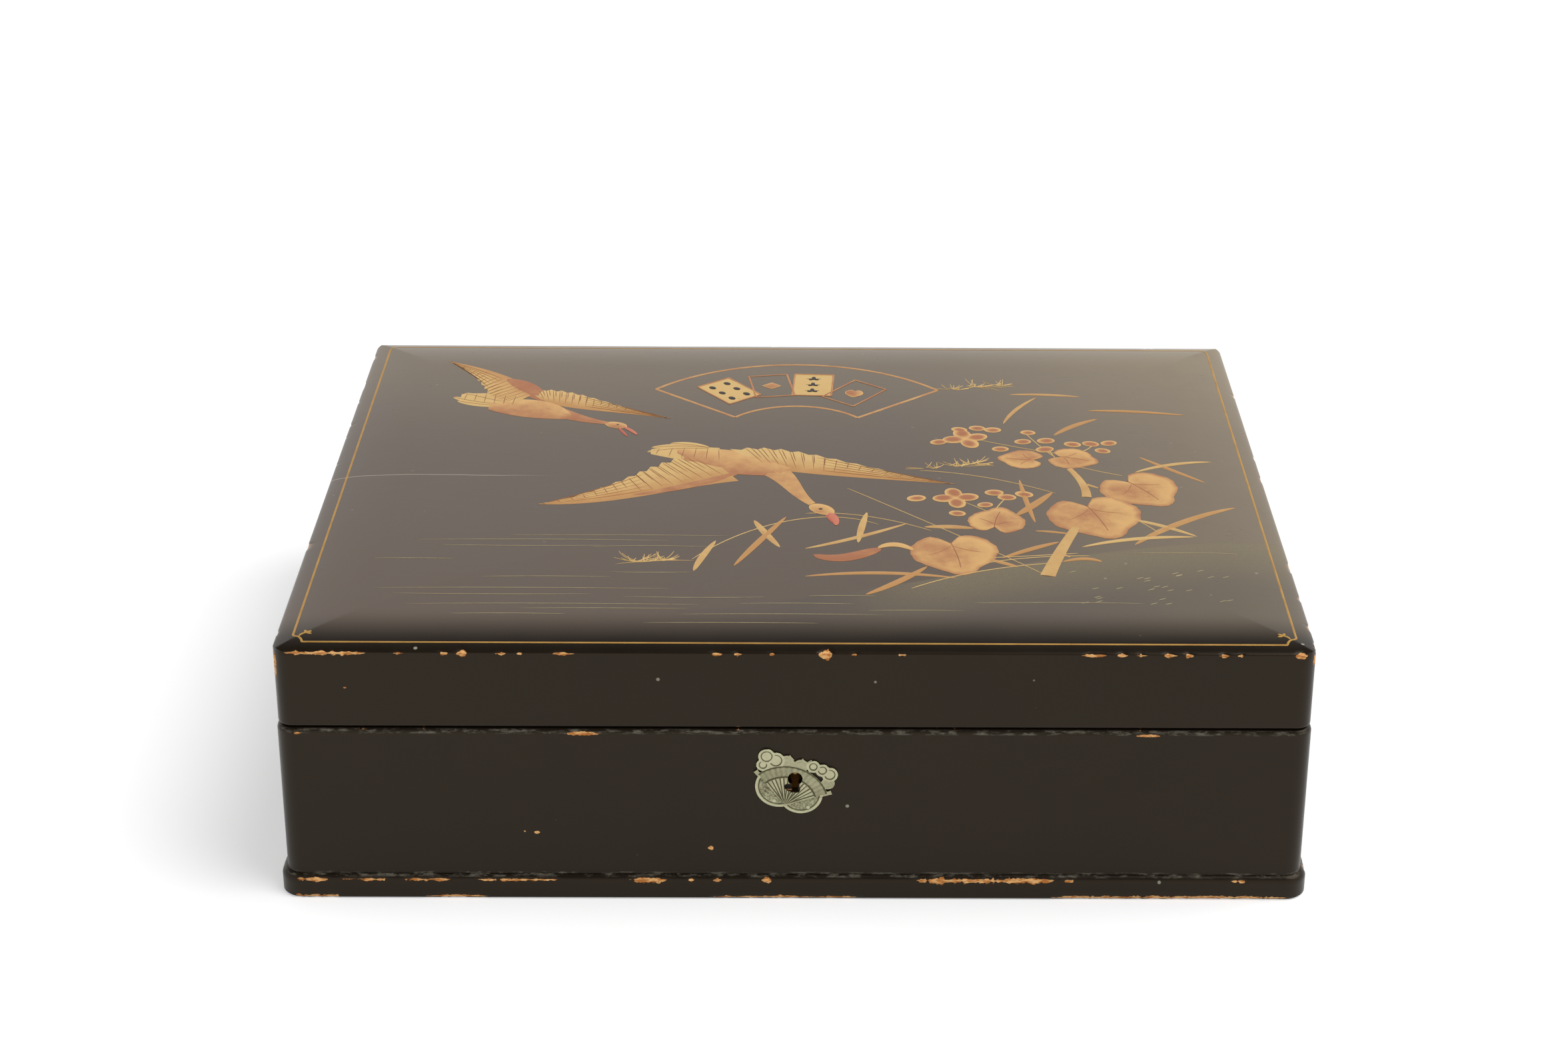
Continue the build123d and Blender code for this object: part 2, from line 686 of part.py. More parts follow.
def crown_section(plane, span, length):
    """A bar with the top board's section: upright edges, then a border that rises on a quarter ellipse."""
    half = span / 2
    with BuildPart() as bar:
        with BuildSketch(plane):
            with BuildLine():
                Polyline((-half, lid_arris), (-half, board_bottom), (half, board_bottom), (half, lid_arris))
                EllipticalCenterArc((half - crown_reach, lid_arris), crown_reach, crown_rise, 0, arc_size=90)
                Line((half - crown_reach, crown_top), (crown_reach - half, crown_top))
                EllipticalCenterArc((crown_reach - half, lid_arris), crown_reach, crown_rise, 90, arc_size=90)
            make_face()
        extrude(amount=length, both=True)
    return bar.part


crown_across = crown_section(Plane.XZ, lid_width, lid_depth)
crown_along = crown_section(Plane.YZ, lid_depth, lid_width)
with BuildPart() as lid_board:
    add(crown_across)
    add(crown_along, mode=Mode.INTERSECT)
    with BuildSketch(Plane.XY.offset(board_bottom)):
        RectangleRounded(lid_width, lid_depth, corner_radius - lid_inset)
    extrude(amount=crown_top - board_bottom, mode=Mode.INTERSECT)
    with BuildSketch(Plane.XY.offset(board_bottom)):
        Rectangle(inner_width, inner_depth)
    extrude(amount=-board_tongue)
save(lid_board.part, "lid_board")

for name, level in (("body_lining", base_thickness), ("lid_lining", ceiling)):
    with BuildPart() as lining:
        with BuildSketch(Plane.XY.offset(level)):
            Rectangle(inner_width, inner_depth)
        extrude(amount=lining_thickness)
    save(lining.part, name)

# ---- partitions ---------------------------------------------------------------------------------------------------
divider_x = (centre_bay + divider_thickness) / 2
divider_top = floor_top + divider_height
lap_width = divider_thickness + 2 * lap_clearance
half_lap = divider_height / 2

for name, x in (("divider_left", -divider_x), ("divider_right", divider_x)):
    with BuildPart() as divider:
        with BuildSketch(Plane.XZ):
            with Locations((x, floor_top + divider_height / 2)):
                Rectangle(divider_thickness, divider_height)
        extrude(amount=inner_depth / 2, both=True)
        fillet(divider.edges().filter_by(Axis.Y).group_by(Axis.Z)[-1], divider_rounding)
        with Locations((x, 0, floor_top + (half_lap + lap_clearance) / 2)):
            Box(lap_width, lap_width, half_lap + lap_clearance, mode=Mode.SUBTRACT)
    save(divider.part, name)

with BuildPart() as divider_cross:
    with BuildSketch(Plane.YZ):
        with Locations((0, floor_top + divider_height / 2)):
            Rectangle(divider_thickness, divider_height)
    extrude(amount=inner_width / 2, both=True)
    fillet(divider_cross.edges().filter_by(Axis.X).group_by(Axis.Z)[-1], divider_rounding)
    with Locations(*[(x, 0, divider_top - half_lap / 2) for x in (-divider_x, divider_x)]):
        Box(lap_width, lap_width, half_lap, mode=Mode.SUBTRACT)
save(divider_cross.part, "divider_cross")

# ---- lidded boxes -----------------------------------------------------------------------------------------------------
bay_depth = (inner_depth - divider_thickness) / 2
side_bay = (inner_width - centre_bay) / 2 - divider_thickness
box_width = side_bay - 2 * bay_clearance
box_depth = bay_depth - 2 * bay_clearance
bay_y = (divider_thickness + bay_depth) / 2
side_bay_x = (centre_bay + side_bay) / 2 + divider_thickness
lip_inset = box_wall - box_lip
lid_shell = lip_inset - box_clearance


def box_plan(inset):
    """A box's rounded outline, drawn in by an inset, in the current sketch."""
    return RectangleRounded(box_width - 2 * inset, box_depth - 2 * inset, max(box_corner - inset, box_lip / 4))


for number, (x, y) in enumerate([(x, y) for y in (-bay_y, bay_y) for x in (-side_bay_x, side_bay_x)], 1):
    bottom = Plane((x, y, floor_top))
    with BuildPart() as card_box:
        with BuildSketch(bottom):
            box_plan(0)
        extrude(amount=box_shoulder)
        chamfer(card_box.faces().sort_by(Axis.Z)[0].edges(), box_clearance)
        with BuildSketch(bottom.offset(box_shoulder)):
            box_plan(lip_inset)
        extrude(amount=box_lip_height)
        with BuildSketch(bottom.offset(box_floor)):
            box_plan(box_wall)
        extrude(amount=box_shoulder + box_lip_height, mode=Mode.SUBTRACT)
    save(card_box.part, f"card_box_{number}")
    with BuildPart() as card_box_lid:
        with BuildSketch(bottom.offset(box_shoulder)):
            box_plan(0)
        extrude(amount=box_lid_height)
        chamfer(card_box_lid.faces().sort_by(Axis.Z)[-1].edges(), box_bevel)
        with BuildSketch(bottom.offset(box_shoulder)):
            box_plan(lid_shell)
        extrude(amount=box_lid_height - box_lid_top, mode=Mode.SUBTRACT)
    save(card_box_lid.part, f"card_box_lid_{number}")

# ---- trays ----------------------------------------------------------------------------------------------------------------
tray_width = centre_bay - 2 * bay_clearance
tray_depth = bay_depth - 2 * bay_clearance

for stack, y in (("front", -bay_y), ("back", bay_y)):
    for number in range(tray_count):
        bottom = Plane((0, y, floor_top + number * tray_height))
        with BuildPart() as tray:
            with BuildSketch(bottom):
                Rectangle(tray_width, tray_depth)
                chamfer(vertices(), tray_corner)
            extrude(amount=tray_height)
            with BuildSketch(bottom.offset(tray_floor)):
                Rectangle(tray_width, tray_depth)
                chamfer(vertices(), tray_corner)
                offset(amount=-tray_wall, mode=Mode.REPLACE)
            extrude(amount=tray_height, mode=Mode.SUBTRACT)
        save(tray.part, f"tray_{stack}_{number + 1}")
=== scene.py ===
# %% [markdown]
# # A lacquered games case
#
# The real case is a wooden box under many thin coats of brown-black lacquer, with pictures in gold
# powder on the lid. Its joinery, lock, hinges, boxes and trays come from the CAD model. This lesson
# adds what a joiner's drawing leaves out: soft edges, gloss, worn places, the gold, and the pressed
# metal around the keyhole. The model is loaded first, because every new piece takes its place from
# it.

import math
import random

import bpy
from mathutils import Matrix, Vector, noise


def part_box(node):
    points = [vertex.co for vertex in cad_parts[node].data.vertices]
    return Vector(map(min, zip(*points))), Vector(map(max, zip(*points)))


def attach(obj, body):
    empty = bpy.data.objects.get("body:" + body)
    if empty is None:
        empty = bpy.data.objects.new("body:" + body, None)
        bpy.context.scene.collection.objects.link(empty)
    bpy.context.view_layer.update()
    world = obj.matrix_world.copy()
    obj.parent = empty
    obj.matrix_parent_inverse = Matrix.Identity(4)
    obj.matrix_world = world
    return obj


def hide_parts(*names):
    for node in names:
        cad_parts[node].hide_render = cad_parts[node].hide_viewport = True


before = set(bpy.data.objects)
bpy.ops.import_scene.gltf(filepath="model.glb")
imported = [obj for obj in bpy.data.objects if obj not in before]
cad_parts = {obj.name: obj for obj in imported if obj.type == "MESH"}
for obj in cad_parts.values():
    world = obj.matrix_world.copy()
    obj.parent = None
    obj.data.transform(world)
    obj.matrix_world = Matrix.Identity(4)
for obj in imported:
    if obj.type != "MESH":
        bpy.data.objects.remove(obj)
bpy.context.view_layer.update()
MM = 0.001
print("pieces from the CAD model:", len(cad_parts))

# %% [markdown]
# ## The camera
#
# A product photographer stands in front of the case and looks down on it with a long lens. The
# place and the turn of the camera can be found by matching the corners of the case, whose real
# sizes are known. The photographer kept the case low in the picture, so the lens is shifted a
# little instead of turned.

# %% Camera
photo_width = 2353
camera_place = Vector((4.5, -1017.0, 566.2)) * MM
camera_turn, camera_tilt, camera_roll = -0.68, -23.86, -0.52
camera_lens = 68.6
lens_centre_right, lens_centre_up = 87.4, 138.4  # pixels from the middle of the photograph

turned = (
    Matrix.Rotation(math.radians(camera_turn), 4, "Z")
    @ Matrix.Rotation(math.radians(90 + camera_tilt), 4, "X")
    @ Matrix.Rotation(math.radians(-camera_roll), 4, "Z")
)
bpy.ops.object.camera_add(location=camera_place, rotation=turned.to_euler())
camera = bpy.context.object
camera.data.lens = camera_lens
camera.data.shift_x = -lens_centre_right / photo_width
camera.data.shift_y = -lens_centre_up / photo_width
camera.data.dof.use_dof = False
bpy.context.scene.camera = camera
bpy.context.scene.view_settings.view_transform = "Standard"
print("camera stands", round(camera_place.length, 2), "m from the case")

# %% [markdown]
# ## Nodes as sums
#
# A material in Blender is a board of nodes. Its arithmetic can be wired by hand, but it is easier
# to read as a formula, so a small class wraps a socket and lets Python's own signs add the Math
# nodes. A second class holds one material and has a single method for every other kind of node.

# %% Wires and finishes
class Wire:
    """A socket that can be added, taken away and multiplied."""

    def __init__(self, finish, socket):
        self.finish = finish
        self.socket = socket

    def maths(self, operation, *values):
        return self.finish.node("Math", {"operation": operation}, dict(enumerate(values)))

    def __add__(self, other):
        return self.maths("ADD", self, other)

    def __sub__(self, other):
        return self.maths("SUBTRACT", self, other)

    def __rsub__(self, other):
        return self.maths("SUBTRACT", other, self)

    def __mul__(self, other):
        return self.maths("MULTIPLY", self, other)

    def __abs__(self):
        return self.maths("ABSOLUTE", self)

    def most(self, other):
        return self.maths("MAXIMUM", self, other)

    __radd__ = __add__
    __rmul__ = __mul__


class Finish:
    """One material: its shader, and one method that adds any other node."""

    def __init__(self, name):
        self.material = bpy.data.materials.new(name)
        self.material.use_nodes = True
        self.nodes = self.material.node_tree.nodes
        self.links = self.material.node_tree.links
        self.shader = self.nodes["Principled BSDF"]

    def plug(self, socket, value):
        if isinstance(value, Wire):
            self.links.new(value.socket, socket)
        else:
            socket.default_value = value

    def node(self, kind, settings, sockets, output=0):
        made = self.nodes.new("ShaderNode" + kind)
        for name, value in settings.items():
            setattr(made, name, value)
        for name, value in sockets.items():
            self.plug(made.inputs[name], value)
        return Wire(self, made.outputs[output])

    def wear(self, **sockets):
        """Plugs values or wires into the shader: base_color=..., roughness=... and so on."""
        for name, value in sockets.items():
            self.plug(self.shader.inputs[name.replace("_", " ").title().replace("Ior", "IOR")], value)
        return self


def colour(red, green, blue):
    """A colour as the eye reads it, from 0 to 255, made linear for the shader."""
    return tuple((c / 255) ** 2.2 for c in (red, green, blue)) + (1.0,)


print("wires and finishes are ready")

# %% [markdown]
# ## Patterns that several finishes share
#
# Lacquer, gold and metal all have blotches, grain and fine bumps. Each is a noise that reads the
# piece's own coordinates, in metres, so a pattern stays where it is on the piece when the lid
# opens. A smooth step turns such a noise into a mask with a soft edge.

# %% Shared patterns
def place_of(finish, stretch=(1, 1, 1)):
    """The piece's own coordinates, stretched for a grain."""
    here = finish.node("TexCoord", {}, {}, "Object")
    return finish.node("Mapping", {}, {"Vector": here, "Scale": stretch})


def blotches(finish, size, stretch=(1, 1, 1), detail=3.0, roughness=0.55):
    """Noise from 0 to 1 whose lumps are about that many millimetres wide."""
    sockets = {"Vector": place_of(finish, stretch), "Scale": 1 / (size * MM)}
    return finish.node("TexNoise", {}, sockets | {"Detail": detail, "Roughness": roughness})


def step(finish, value, start, end):
    """0 below start, 1 above end, and smooth between them. Start may be the larger one."""
    sockets = {0: value, 1: start, 2: end, 3: 0.0, 4: 1.0}
    return finish.node("MapRange", {"interpolation_type": "SMOOTHSTEP"}, sockets)


def mixed(finish, share, first, second):
    """One colour that turns into another."""
    return finish.node("Mix", {"data_type": "RGBA"}, {0: share, 6: first, 7: second}, 2)


def axis(finish, letter):
    """One of the piece's own coordinates, in millimetres."""
    return finish.node("SeparateXYZ", {}, {0: place_of(finish)}, "XYZ".index(letter)) * (1 / MM)


def bump(finish, height, depth):
    """Normals bent by a height from 0 to 1 that stands that many millimetres."""
    return finish.node("Bump", {}, {"Strength": 1.0, "Distance": depth * MM, "Height": height})


print("shared patterns are ready")

# %% [markdown]
# ## Flakes and dust
#
# Where an edge was knocked, a flake of lacquer is gone and the orange wood shows its grain. The
# flakes follow a number called wear, which the meshes of the two boards carry. Walls from the CAD
# model have no such number, so there the flakes follow the height of the rim, and single chips are
# given by their place. The bore of the keyhole is too deep to catch light, so it gets painted shade
# that makes it nearly black, and dust has settled in specks and along the edges.

# %% Flakes and dust
# The last colour here is painted shade for the bore of the keyhole, which is too deep to catch light.
bare_wood, dark_wood, painted_bore_shade = colour(240, 184, 120), colour(184, 114, 56), colour(16, 11, 8)
speck_grey, edge_dust = colour(150, 145, 130), colour(118, 114, 102)
rim_level, lid_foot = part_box("body_front_wall")[1].z / MM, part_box("lid_front_wall")[0].z / MM
front_middle = -129  # the middle of the front walls, along Y
key_level = 46.9  # the height of the keyhole
bore_half, bore_reach = 4.5, 7.4  # how far the painted shade of the bore reaches, across it and along it


def speckles(finish, size, share):
    """Small round specks, each where a cell of a Voronoi pattern has its centre, in a share of the cells."""
    sockets = {"Vector": place_of(finish), "Scale": 1 / (size * MM), "Randomness": 1.0}
    near = finish.node("TexVoronoi", {}, sockets, "Distance")
    lucky = finish.node("SeparateColor", {}, {0: finish.node("TexVoronoi", {}, sockets, "Color")}, 0)
    return step(finish, near, 0.09, 0.05) * step(finish, lucky, 1 - share, 1 - share + 0.01)


def dust_line(finish, level):
    """Dust that lies in patches along a level edge."""
    near = step(finish, abs(axis(finish, "Z") - level), 1.0, 0.35)
    return near * step(finish, blotches(finish, 1.4, (0.25, 0.25, 1), 5, 0.7), 0.46, 0.66)


def rim_flakes(finish, level, height):
    """Flakes along a level edge, where a noise along it is strong."""
    near = step(finish, abs(axis(finish, "Z") - level), height, height * 0.2)
    return near * step(finish, blotches(finish, 3.5, (1, 1, 0.1), 4), 0.66, 0.70)


def nick(finish, x, z, wide, high):
    """A chip in the front of the case, by its place and its half sizes, with a ragged edge."""
    across, up = (axis(finish, "X") - x) * (1 / wide), (axis(finish, "Z") - z) * (1 / high)
    ragged = (blotches(finish, 1.2, detail=6, roughness=0.8) - 0.5) * 4
    on_front = step(finish, axis(finish, "Y"), front_middle + 1, front_middle - 1)
    return step(finish, across * across + up * up + ragged, 1.05, 0.85) * on_front


def flaked(finish, base, nicks):
    """Where the lacquer is gone, and the base colour with the wood and the painted shade of the bore in it.
    """
    worn = finish.node("Attribute", {"attribute_name": "wear"}, {}, "Fac")
    ragged = blotches(finish, 1.3, (0.45, 0.6, 1), 6, 0.8)
    gone = step(finish, worn + (ragged - 0.5) * 1.5, 0.52, 0.58)
    gone = gone.most(rim_flakes(finish, rim_level, 0.9)).most(rim_flakes(finish, lid_foot, 0.5))
    for spot in nicks:
        gone = gone.most(nick(finish, *spot))
    grain = step(finish, blotches(finish, 0.8, (0.3, 1, 1), 4), 0.38, 0.6)
    base = mixed(finish, gone, base, mixed(finish, grain, dark_wood, bare_wood))
    # Painted shade: the deep bore of the keyhole is made nearly black.
    from_key = abs(axis(finish, "X")).most(abs(axis(finish, "Z") - key_level))
    along_bore = step(finish, abs(axis(finish, "Y") - front_middle), bore_reach, bore_reach - 0.4)
    in_bore = step(finish, from_key, bore_half, bore_half - 0.3) * along_bore
    return gone, mixed(finish, in_bore, base, painted_bore_shade)


print("the rim is", round(rim_level, 1), "mm high")

# %% [markdown]
# ## What lies on the lid
#
# The flat of the lid is dulled by a film of dust and painted sheen, which fades out towards the
# front edge, and painted light makes it paler towards the back and the right. The gold bank by the
# water is a haze of powder, thick at its upper edge and thinner below, and a hairline crack runs in
# from the left side. All three are masks on the lid's own coordinates, and the film also raises a
# thin coat that gives the flat its soft shine.

# %% What lies on the lid
# The film's two colours are dust with painted sheen: the first in painted shade, the second in painted light.
dust_sheen_painted_dim, dust_sheen_painted_lit = colour(78, 60, 43), colour(136, 118, 86)
crack_pale, bank_gold = colour(190, 180, 160), colour(124, 108, 70)
bank_front, bank_rise = -111, 57  # the bank's upper edge on the left, and how far it climbs to the right


def lid_marks(finish, base, hazy):
    """The lid's base colour with its film of dust and painted sheen, its painted light, its crack and the
    haze of the bank.
    """
    x, y, z = (axis(finish, letter) for letter in "XYZ")
    on_top = step(finish, z, 88.5, 90)
    bank = y - step(finish, x, -60, 170) * bank_rise - bank_front
    below = step(finish, bank, 1.5, -0.5) * on_top
    # The film is dust with painted sheen, and it fades out towards the front edge.
    dust_and_sheen_film = step(finish, y, -131, -110) * on_top
    # Painted light: the film is paler towards the right and the back.
    painted_sunlight = step(finish, x, 30, 190) * 0.6 + step(finish, y, 10, 160) * 0.5
    shore = below * step(finish, x, -60, 40)
    share = dust_and_sheen_film * (hazy * 0.3 + 0.7) * (1 - shore * 0.4)
    base = mixed(finish, share, base, mixed(finish, painted_sunlight, dust_sheen_painted_dim, dust_sheen_painted_lit))
    wander = (blotches(finish, 40, detail=3) - 0.5) * 5
    crack = step(finish, abs(y - wander), 0.3, 0.1) * step(finish, x, -88, -120)
    base = mixed(finish, crack * step(finish, z, 90, 92) * 0.6, base, crack_pale)
    haze = below * step(finish, bank, -40, 0) * step(finish, x, 0, 60)
    powder = step(finish, blotches(finish, 0.3, detail=2), 0.42, 0.62)
    finish.wear(coat_weight=dust_and_sheen_film * 0.36)
    return mixed(finish, haze * (powder * 0.4 + 0.35), base, bank_gold)


print("the bank climbs", bank_rise, "mm")

# %% [markdown]
# ## Lacquer
#
# Old lacquer is almost black with a brown warmth, deep and glossy, but never even: the coats vary,
# the wood moves under them, and hands dull them. One function makes all the lacquers, so that they
# stay alike. Only the outside of the case flakes and gathers dust, and only the lid has a picture.

# %% Lacquer
warm_sheen = (1, 0.86, 0.66, 1)
whole_depth, flaked_depth = 0.012, 0.05  # how far the bumps stand, in millimetres


def lacquer(name, deep, warm, roughness, nicks=None, pictured=False, dusty=()):
    """A brown-black lacquer with blotches, specks and fine scratches. With nicks, it also flakes."""
    made = Finish(name)
    hazy = blotches(made, 18, detail=4)
    base = mixed(made, blotches(made, 60, detail=5) * 0.7 + hazy * 0.3, deep, warm)
    base = mixed(made, speckles(made, 9, 0.12), base, speck_grey)
    grain = blotches(made, 3, (0.08, 1, 1), 3)
    scratches = blotches(made, 0.9, (0.05, 1, 1), 2)
    height = grain * 0.6 + scratches * 0.25 + blotches(made, 0.7) * 0.15
    roughness = hazy * 0.12 + scratches * 0.06 + (roughness - 0.09)
    for level in dusty:
        dust = dust_line(made, level)
        base = mixed(made, dust * 0.7, base, edge_dust)
        roughness = roughness * (1 - dust * 0.6) + dust * 0.4
    if pictured:
        base = lid_marks(made, base, hazy)
    if nicks:
        gone, base = flaked(made, base, nicks)
        roughness = roughness * (1 - gone) + gone * 0.75
        height = height * 0.3 + (1 - gone) * 0.7
    made.wear(base_color=base, roughness=roughness, specular_tint=warm_sheen)
    return made.wear(normal=bump(made, height, flaked_depth if nicks else whole_depth))


case_nicks = [
    (-88.3, 25.2, 1.0, 0.6), (-92.5, 25.6, 0.4, 0.3), (-28.9, 19.1, 1.0, 0.8), (-72, 63.9, 5.2, 0.7),
    (119.5, 63.7, 4.0, 0.5), (-168, 63.8, 1.2, 0.4), (-2.2, 43.2, 2.0, 0.9),
]
lid_nicks = [(-174.4, 88.5, 0.8, 5.0), (174.6, 91.5, 0.8, 2.2), (-151, 81.0, 0.5, 0.3)]
floor_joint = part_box("base_board")[1].z / MM
outer_deep, lid_deep, outer_warm = colour(26, 21, 16), colour(26, 20, 15), colour(36, 29, 22)
dusty_edges = (rim_level - 1.2, floor_joint)
outer_lacquer = lacquer("outer_lacquer", outer_deep, outer_warm, 0.3, case_nicks, dusty=dusty_edges)
lid_lacquer = lacquer("lid_lacquer", lid_deep, outer_warm, 0.3, lid_nicks, pictured=True)
partition_lacquer = lacquer("partition_lacquer", colour(24, 18, 15), colour(40, 28, 21), 0.4)
box_lacquer = lacquer("box_lacquer", colour(20, 15, 13), colour(34, 25, 20), 0.25)
box_lid_lacquer = lacquer("box_lid_lacquer", colour(22, 16, 14), colour(36, 26, 20), 0.2)
tray_lacquer = lacquer("tray_lacquer", colour(20, 15, 13), colour(34, 24, 19), 0.24)
for duller in (outer_lacquer, lid_lacquer, partition_lacquer):
    duller.wear(ior=1.34)
lid_lacquer.wear(coat_ior=1.55, coat_roughness=0.22)
print("lacquers:", 6)

# %% [markdown]
# ## Paper, bamboo and metals
#
# The linings are dark paper strewn with gold flecks. The pegs are split bamboo, pale and striped
# along their length. Hinges and lock are brass gone brown in the corners, the screws are dull
# steel, and the escutcheon is a pale alloy with dark tarnish. Every metal is the same recipe with
# its own colours, and where a mesh stores a number called hollow, the metal is darker the larger it
# is.

# %% Paper, bamboo and metals
def metal(name, bright, dull, roughness=0.35, brushing=(1, 1, 1)):
    """An old metal: two colours that blotches mix, with a brushed grain."""
    made = Finish(name)
    tarnish = blotches(made, 6, detail=5) * 0.6 + blotches(made, 0.8) * 0.4
    rubbed = blotches(made, 0.25, brushing, 3)
    hollows = made.node("Attribute", {"attribute_name": "hollow"}, {}, "Fac")
    dulled = step(made, tarnish * 0.5 + hollows * 0.75, 0.12, 0.85)
    made.wear(base_color=mixed(made, dulled, bright, dull), metallic=1.0)
    made.wear(roughness=dulled * 0.3 + rubbed * 0.15 + (roughness - 0.12))
    return made.wear(normal=bump(made, rubbed * 0.5 + tarnish * 0.5, 0.02))


hinge_brass = metal("hinge_brass", colour(196, 160, 92), colour(120, 88, 48), brushing=(0.1, 1, 1))
lock_metal = metal("lock_metal", colour(140, 112, 66), colour(74, 56, 34), brushing=(0.1, 1, 1))
lock_steel = metal("lock_steel", colour(160, 156, 148), colour(96, 90, 84), brushing=(0.1, 1, 1))
screw_steel = metal("screw_steel", colour(150, 146, 138), colour(84, 74, 66), 0.45)
escutcheon_metal = metal("escutcheon_metal", colour(176, 174, 142), colour(84, 80, 60), 0.34)

lining_paper = Finish("lining_paper")
flecks = speckles(lining_paper, 1.6, 0.5)
fibres = blotches(lining_paper, 1.2, (1, 0.2, 1), 4)
paper = mixed(lining_paper, fibres, colour(58, 32, 20), colour(86, 50, 30))
lining_paper.wear(base_color=mixed(lining_paper, flecks, paper, colour(214, 168, 92)))
lining_paper.wear(roughness=0.75 - flecks * 0.35, metallic=flecks * 0.8)
lining_paper.wear(normal=bump(lining_paper, fibres, 0.04))

bamboo = Finish("bamboo")
strands = blotches(bamboo, 0.35, (1, 1, 0.05), 4)
bamboo.wear(base_color=mixed(bamboo, strands, colour(214, 180, 120), colour(160, 118, 66)))
bamboo.wear(roughness=strands * 0.2 + 0.45, normal=bump(bamboo, strands, 0.04))
print("metals:", 5)

# %% [markdown]
# ## Finishes on the CAD pieces
#
# Every piece of the CAD model names the finish it was designed with. Its material slot is pointed
# at the new material of the same name, and nothing else about the piece changes.

# %% Finishes on the CAD pieces
finishes = [
    outer_lacquer, lid_lacquer, partition_lacquer, box_lacquer, box_lid_lacquer, tray_lacquer,
    hinge_brass, lock_metal, lock_steel, screw_steel, escutcheon_metal, lining_paper, bamboo,
]
by_slot = {made.material.name.split(".")[0]: made.material for made in finishes}
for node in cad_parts.values():
    for slot in node.material_slots:
        slot.material = by_slot[slot.material.name.split(".")[0]]
print("finishes on CAD pieces:", len(by_slot))

# %% [markdown]
# ## Gold
#
# The pictures were drawn in lacquer and strewn with gold powder while it was wet, then shaded with
# red and brown powder towards the middle of each leaf and wing. So the gold is matt and grainy, and
# its colour drifts. A number called tone, stored on each figure, says how bright the powder lies: 1
# is clean gold and 0 is russet.

# %% Gold
def gold(name, bright, russet, metallic=0.45):
    """Gold powder that turns russet where the tone is low."""
    made = Finish(name)
    tone = made.node("Attribute", {"attribute_name": "tone"}, {}, "Fac")
    drift = blotches(made, 7, detail=4)
    powder = blotches(made, 0.35, detail=3)
    share = step(made, tone + (drift - 0.5) * 0.7 + (powder - 0.5) * 0.35, 0.1, 0.9)
    rubbed = step(made, blotches(made, 2.2, detail=5, roughness=0.65), 0.66, 0.74)
    base = mixed(made, rubbed * 0.5, mixed(made, share, russet, bright), colour(92, 66, 46))
    made.wear(base_color=base, roughness=powder * 0.25 + 0.36, metallic=metallic)
    return made.wear(normal=bump(made, powder * 0.6 + drift * 0.4, 0.03))


gold_powder = gold("gold_powder", colour(228, 180, 112), colour(178, 112, 74), 0.35)
pale_gold = gold("pale_gold", colour(224, 186, 118), colour(200, 146, 86), 0.35)
line_gold = gold("line_gold", colour(206, 160, 82), colour(160, 112, 54), 0.55)
faint_gold = gold("faint_gold", colour(176, 162, 122), colour(140, 124, 88), 0.3)
vermilion = gold("vermilion", colour(214, 128, 98), colour(190, 96, 72), 0.1)
ink = gold("ink", colour(74, 56, 40), colour(44, 33, 26), 0.1)
print("gold finishes:", 6)

# %% [markdown]
# ## A board wrapped from a grid
#
# The lid's top and the base board are rounded rectangles whose section changes from the underside
# up to the top. One could bevel a box, but old edges are uneven, and that needs many small faces
# along them. So a fine grid is added, each of its rows becomes one ring round the board, and the
# two open ends are filled.

# %% Wrapped boards
corner_steps = 10


def deselect():
    bpy.ops.object.select_all(action="DESELECT")


def blank(add, **settings):
    """Adds a primitive on its own and returns it."""
    deselect()
    add(**settings)
    return bpy.context.object


def outline(half_x, half_y, radius, steps_x, steps_y):
    """Points round a rounded rectangle, from the left end of its front edge."""
    flat_x, flat_y = half_x - radius, half_y - radius
    starts = [(-flat_x, -half_y), (half_x, -flat_y), (flat_x, half_y), (-half_x, flat_y)]
    centres = [(flat_x, -flat_y), (flat_x, flat_y), (-flat_x, flat_y), (-flat_x, -flat_y)]
    points = []
    for quarter, (start, centre) in enumerate(zip(starts, centres)):
        steps = (steps_x, steps_y)[quarter % 2]
        angle = (quarter - 1) * math.pi / 2
        end = (centre[0] + radius * math.cos(angle), centre[1] + radius * math.sin(angle))
        for n in range(steps):
            points.append([a + (b - a) * n / steps for a, b in zip(start, end)])
        for n in range(corner_steps):
            turn = angle + math.pi / 2 * n / corner_steps
            points.append([centre[0] + radius * math.cos(turn), centre[1] + radius * math.sin(turn)])
    return points


def wrapped(name, rings, level, spacing=0.8):
    """A closed board. A ring is (half width, half depth, corner radius, height), and level bends it."""
    half_x, half_y = rings[-1][:2]
    steps_x, steps_y = round(2 * half_x / spacing), round(2 * half_y / spacing)
    around = 2 * (steps_x + steps_y) + 4 * corner_steps
    rows = len(rings) - 1
    piece = blank(bpy.ops.mesh.primitive_grid_add, x_subdivisions=around, y_subdivisions=rows, size=2)
    piece.name = name
    outlines = [outline(*ring[:3], steps_x, steps_y) for ring in rings]
    for vertex in piece.data.vertices:
        row = round((vertex.co.y + 1) / 2 * rows)
        x, y = outlines[row][round((vertex.co.x + 1) / 2 * around) % around]
        vertex.co = Vector((x, y, level(x, y, rings[row][3]))) * MM
    bpy.ops.object.mode_set(mode="EDIT")
    bpy.ops.mesh.select_all(action="SELECT")
    bpy.ops.mesh.remove_doubles(threshold=0.001 * MM)
    bpy.ops.mesh.fill_holes(sides=0)
    bpy.ops.mesh.normals_make_consistent(inside=False)
    bpy.ops.object.mode_set(mode="OBJECT")
    print(name, "has", len(piece.data.polygons), "faces")
    return piece


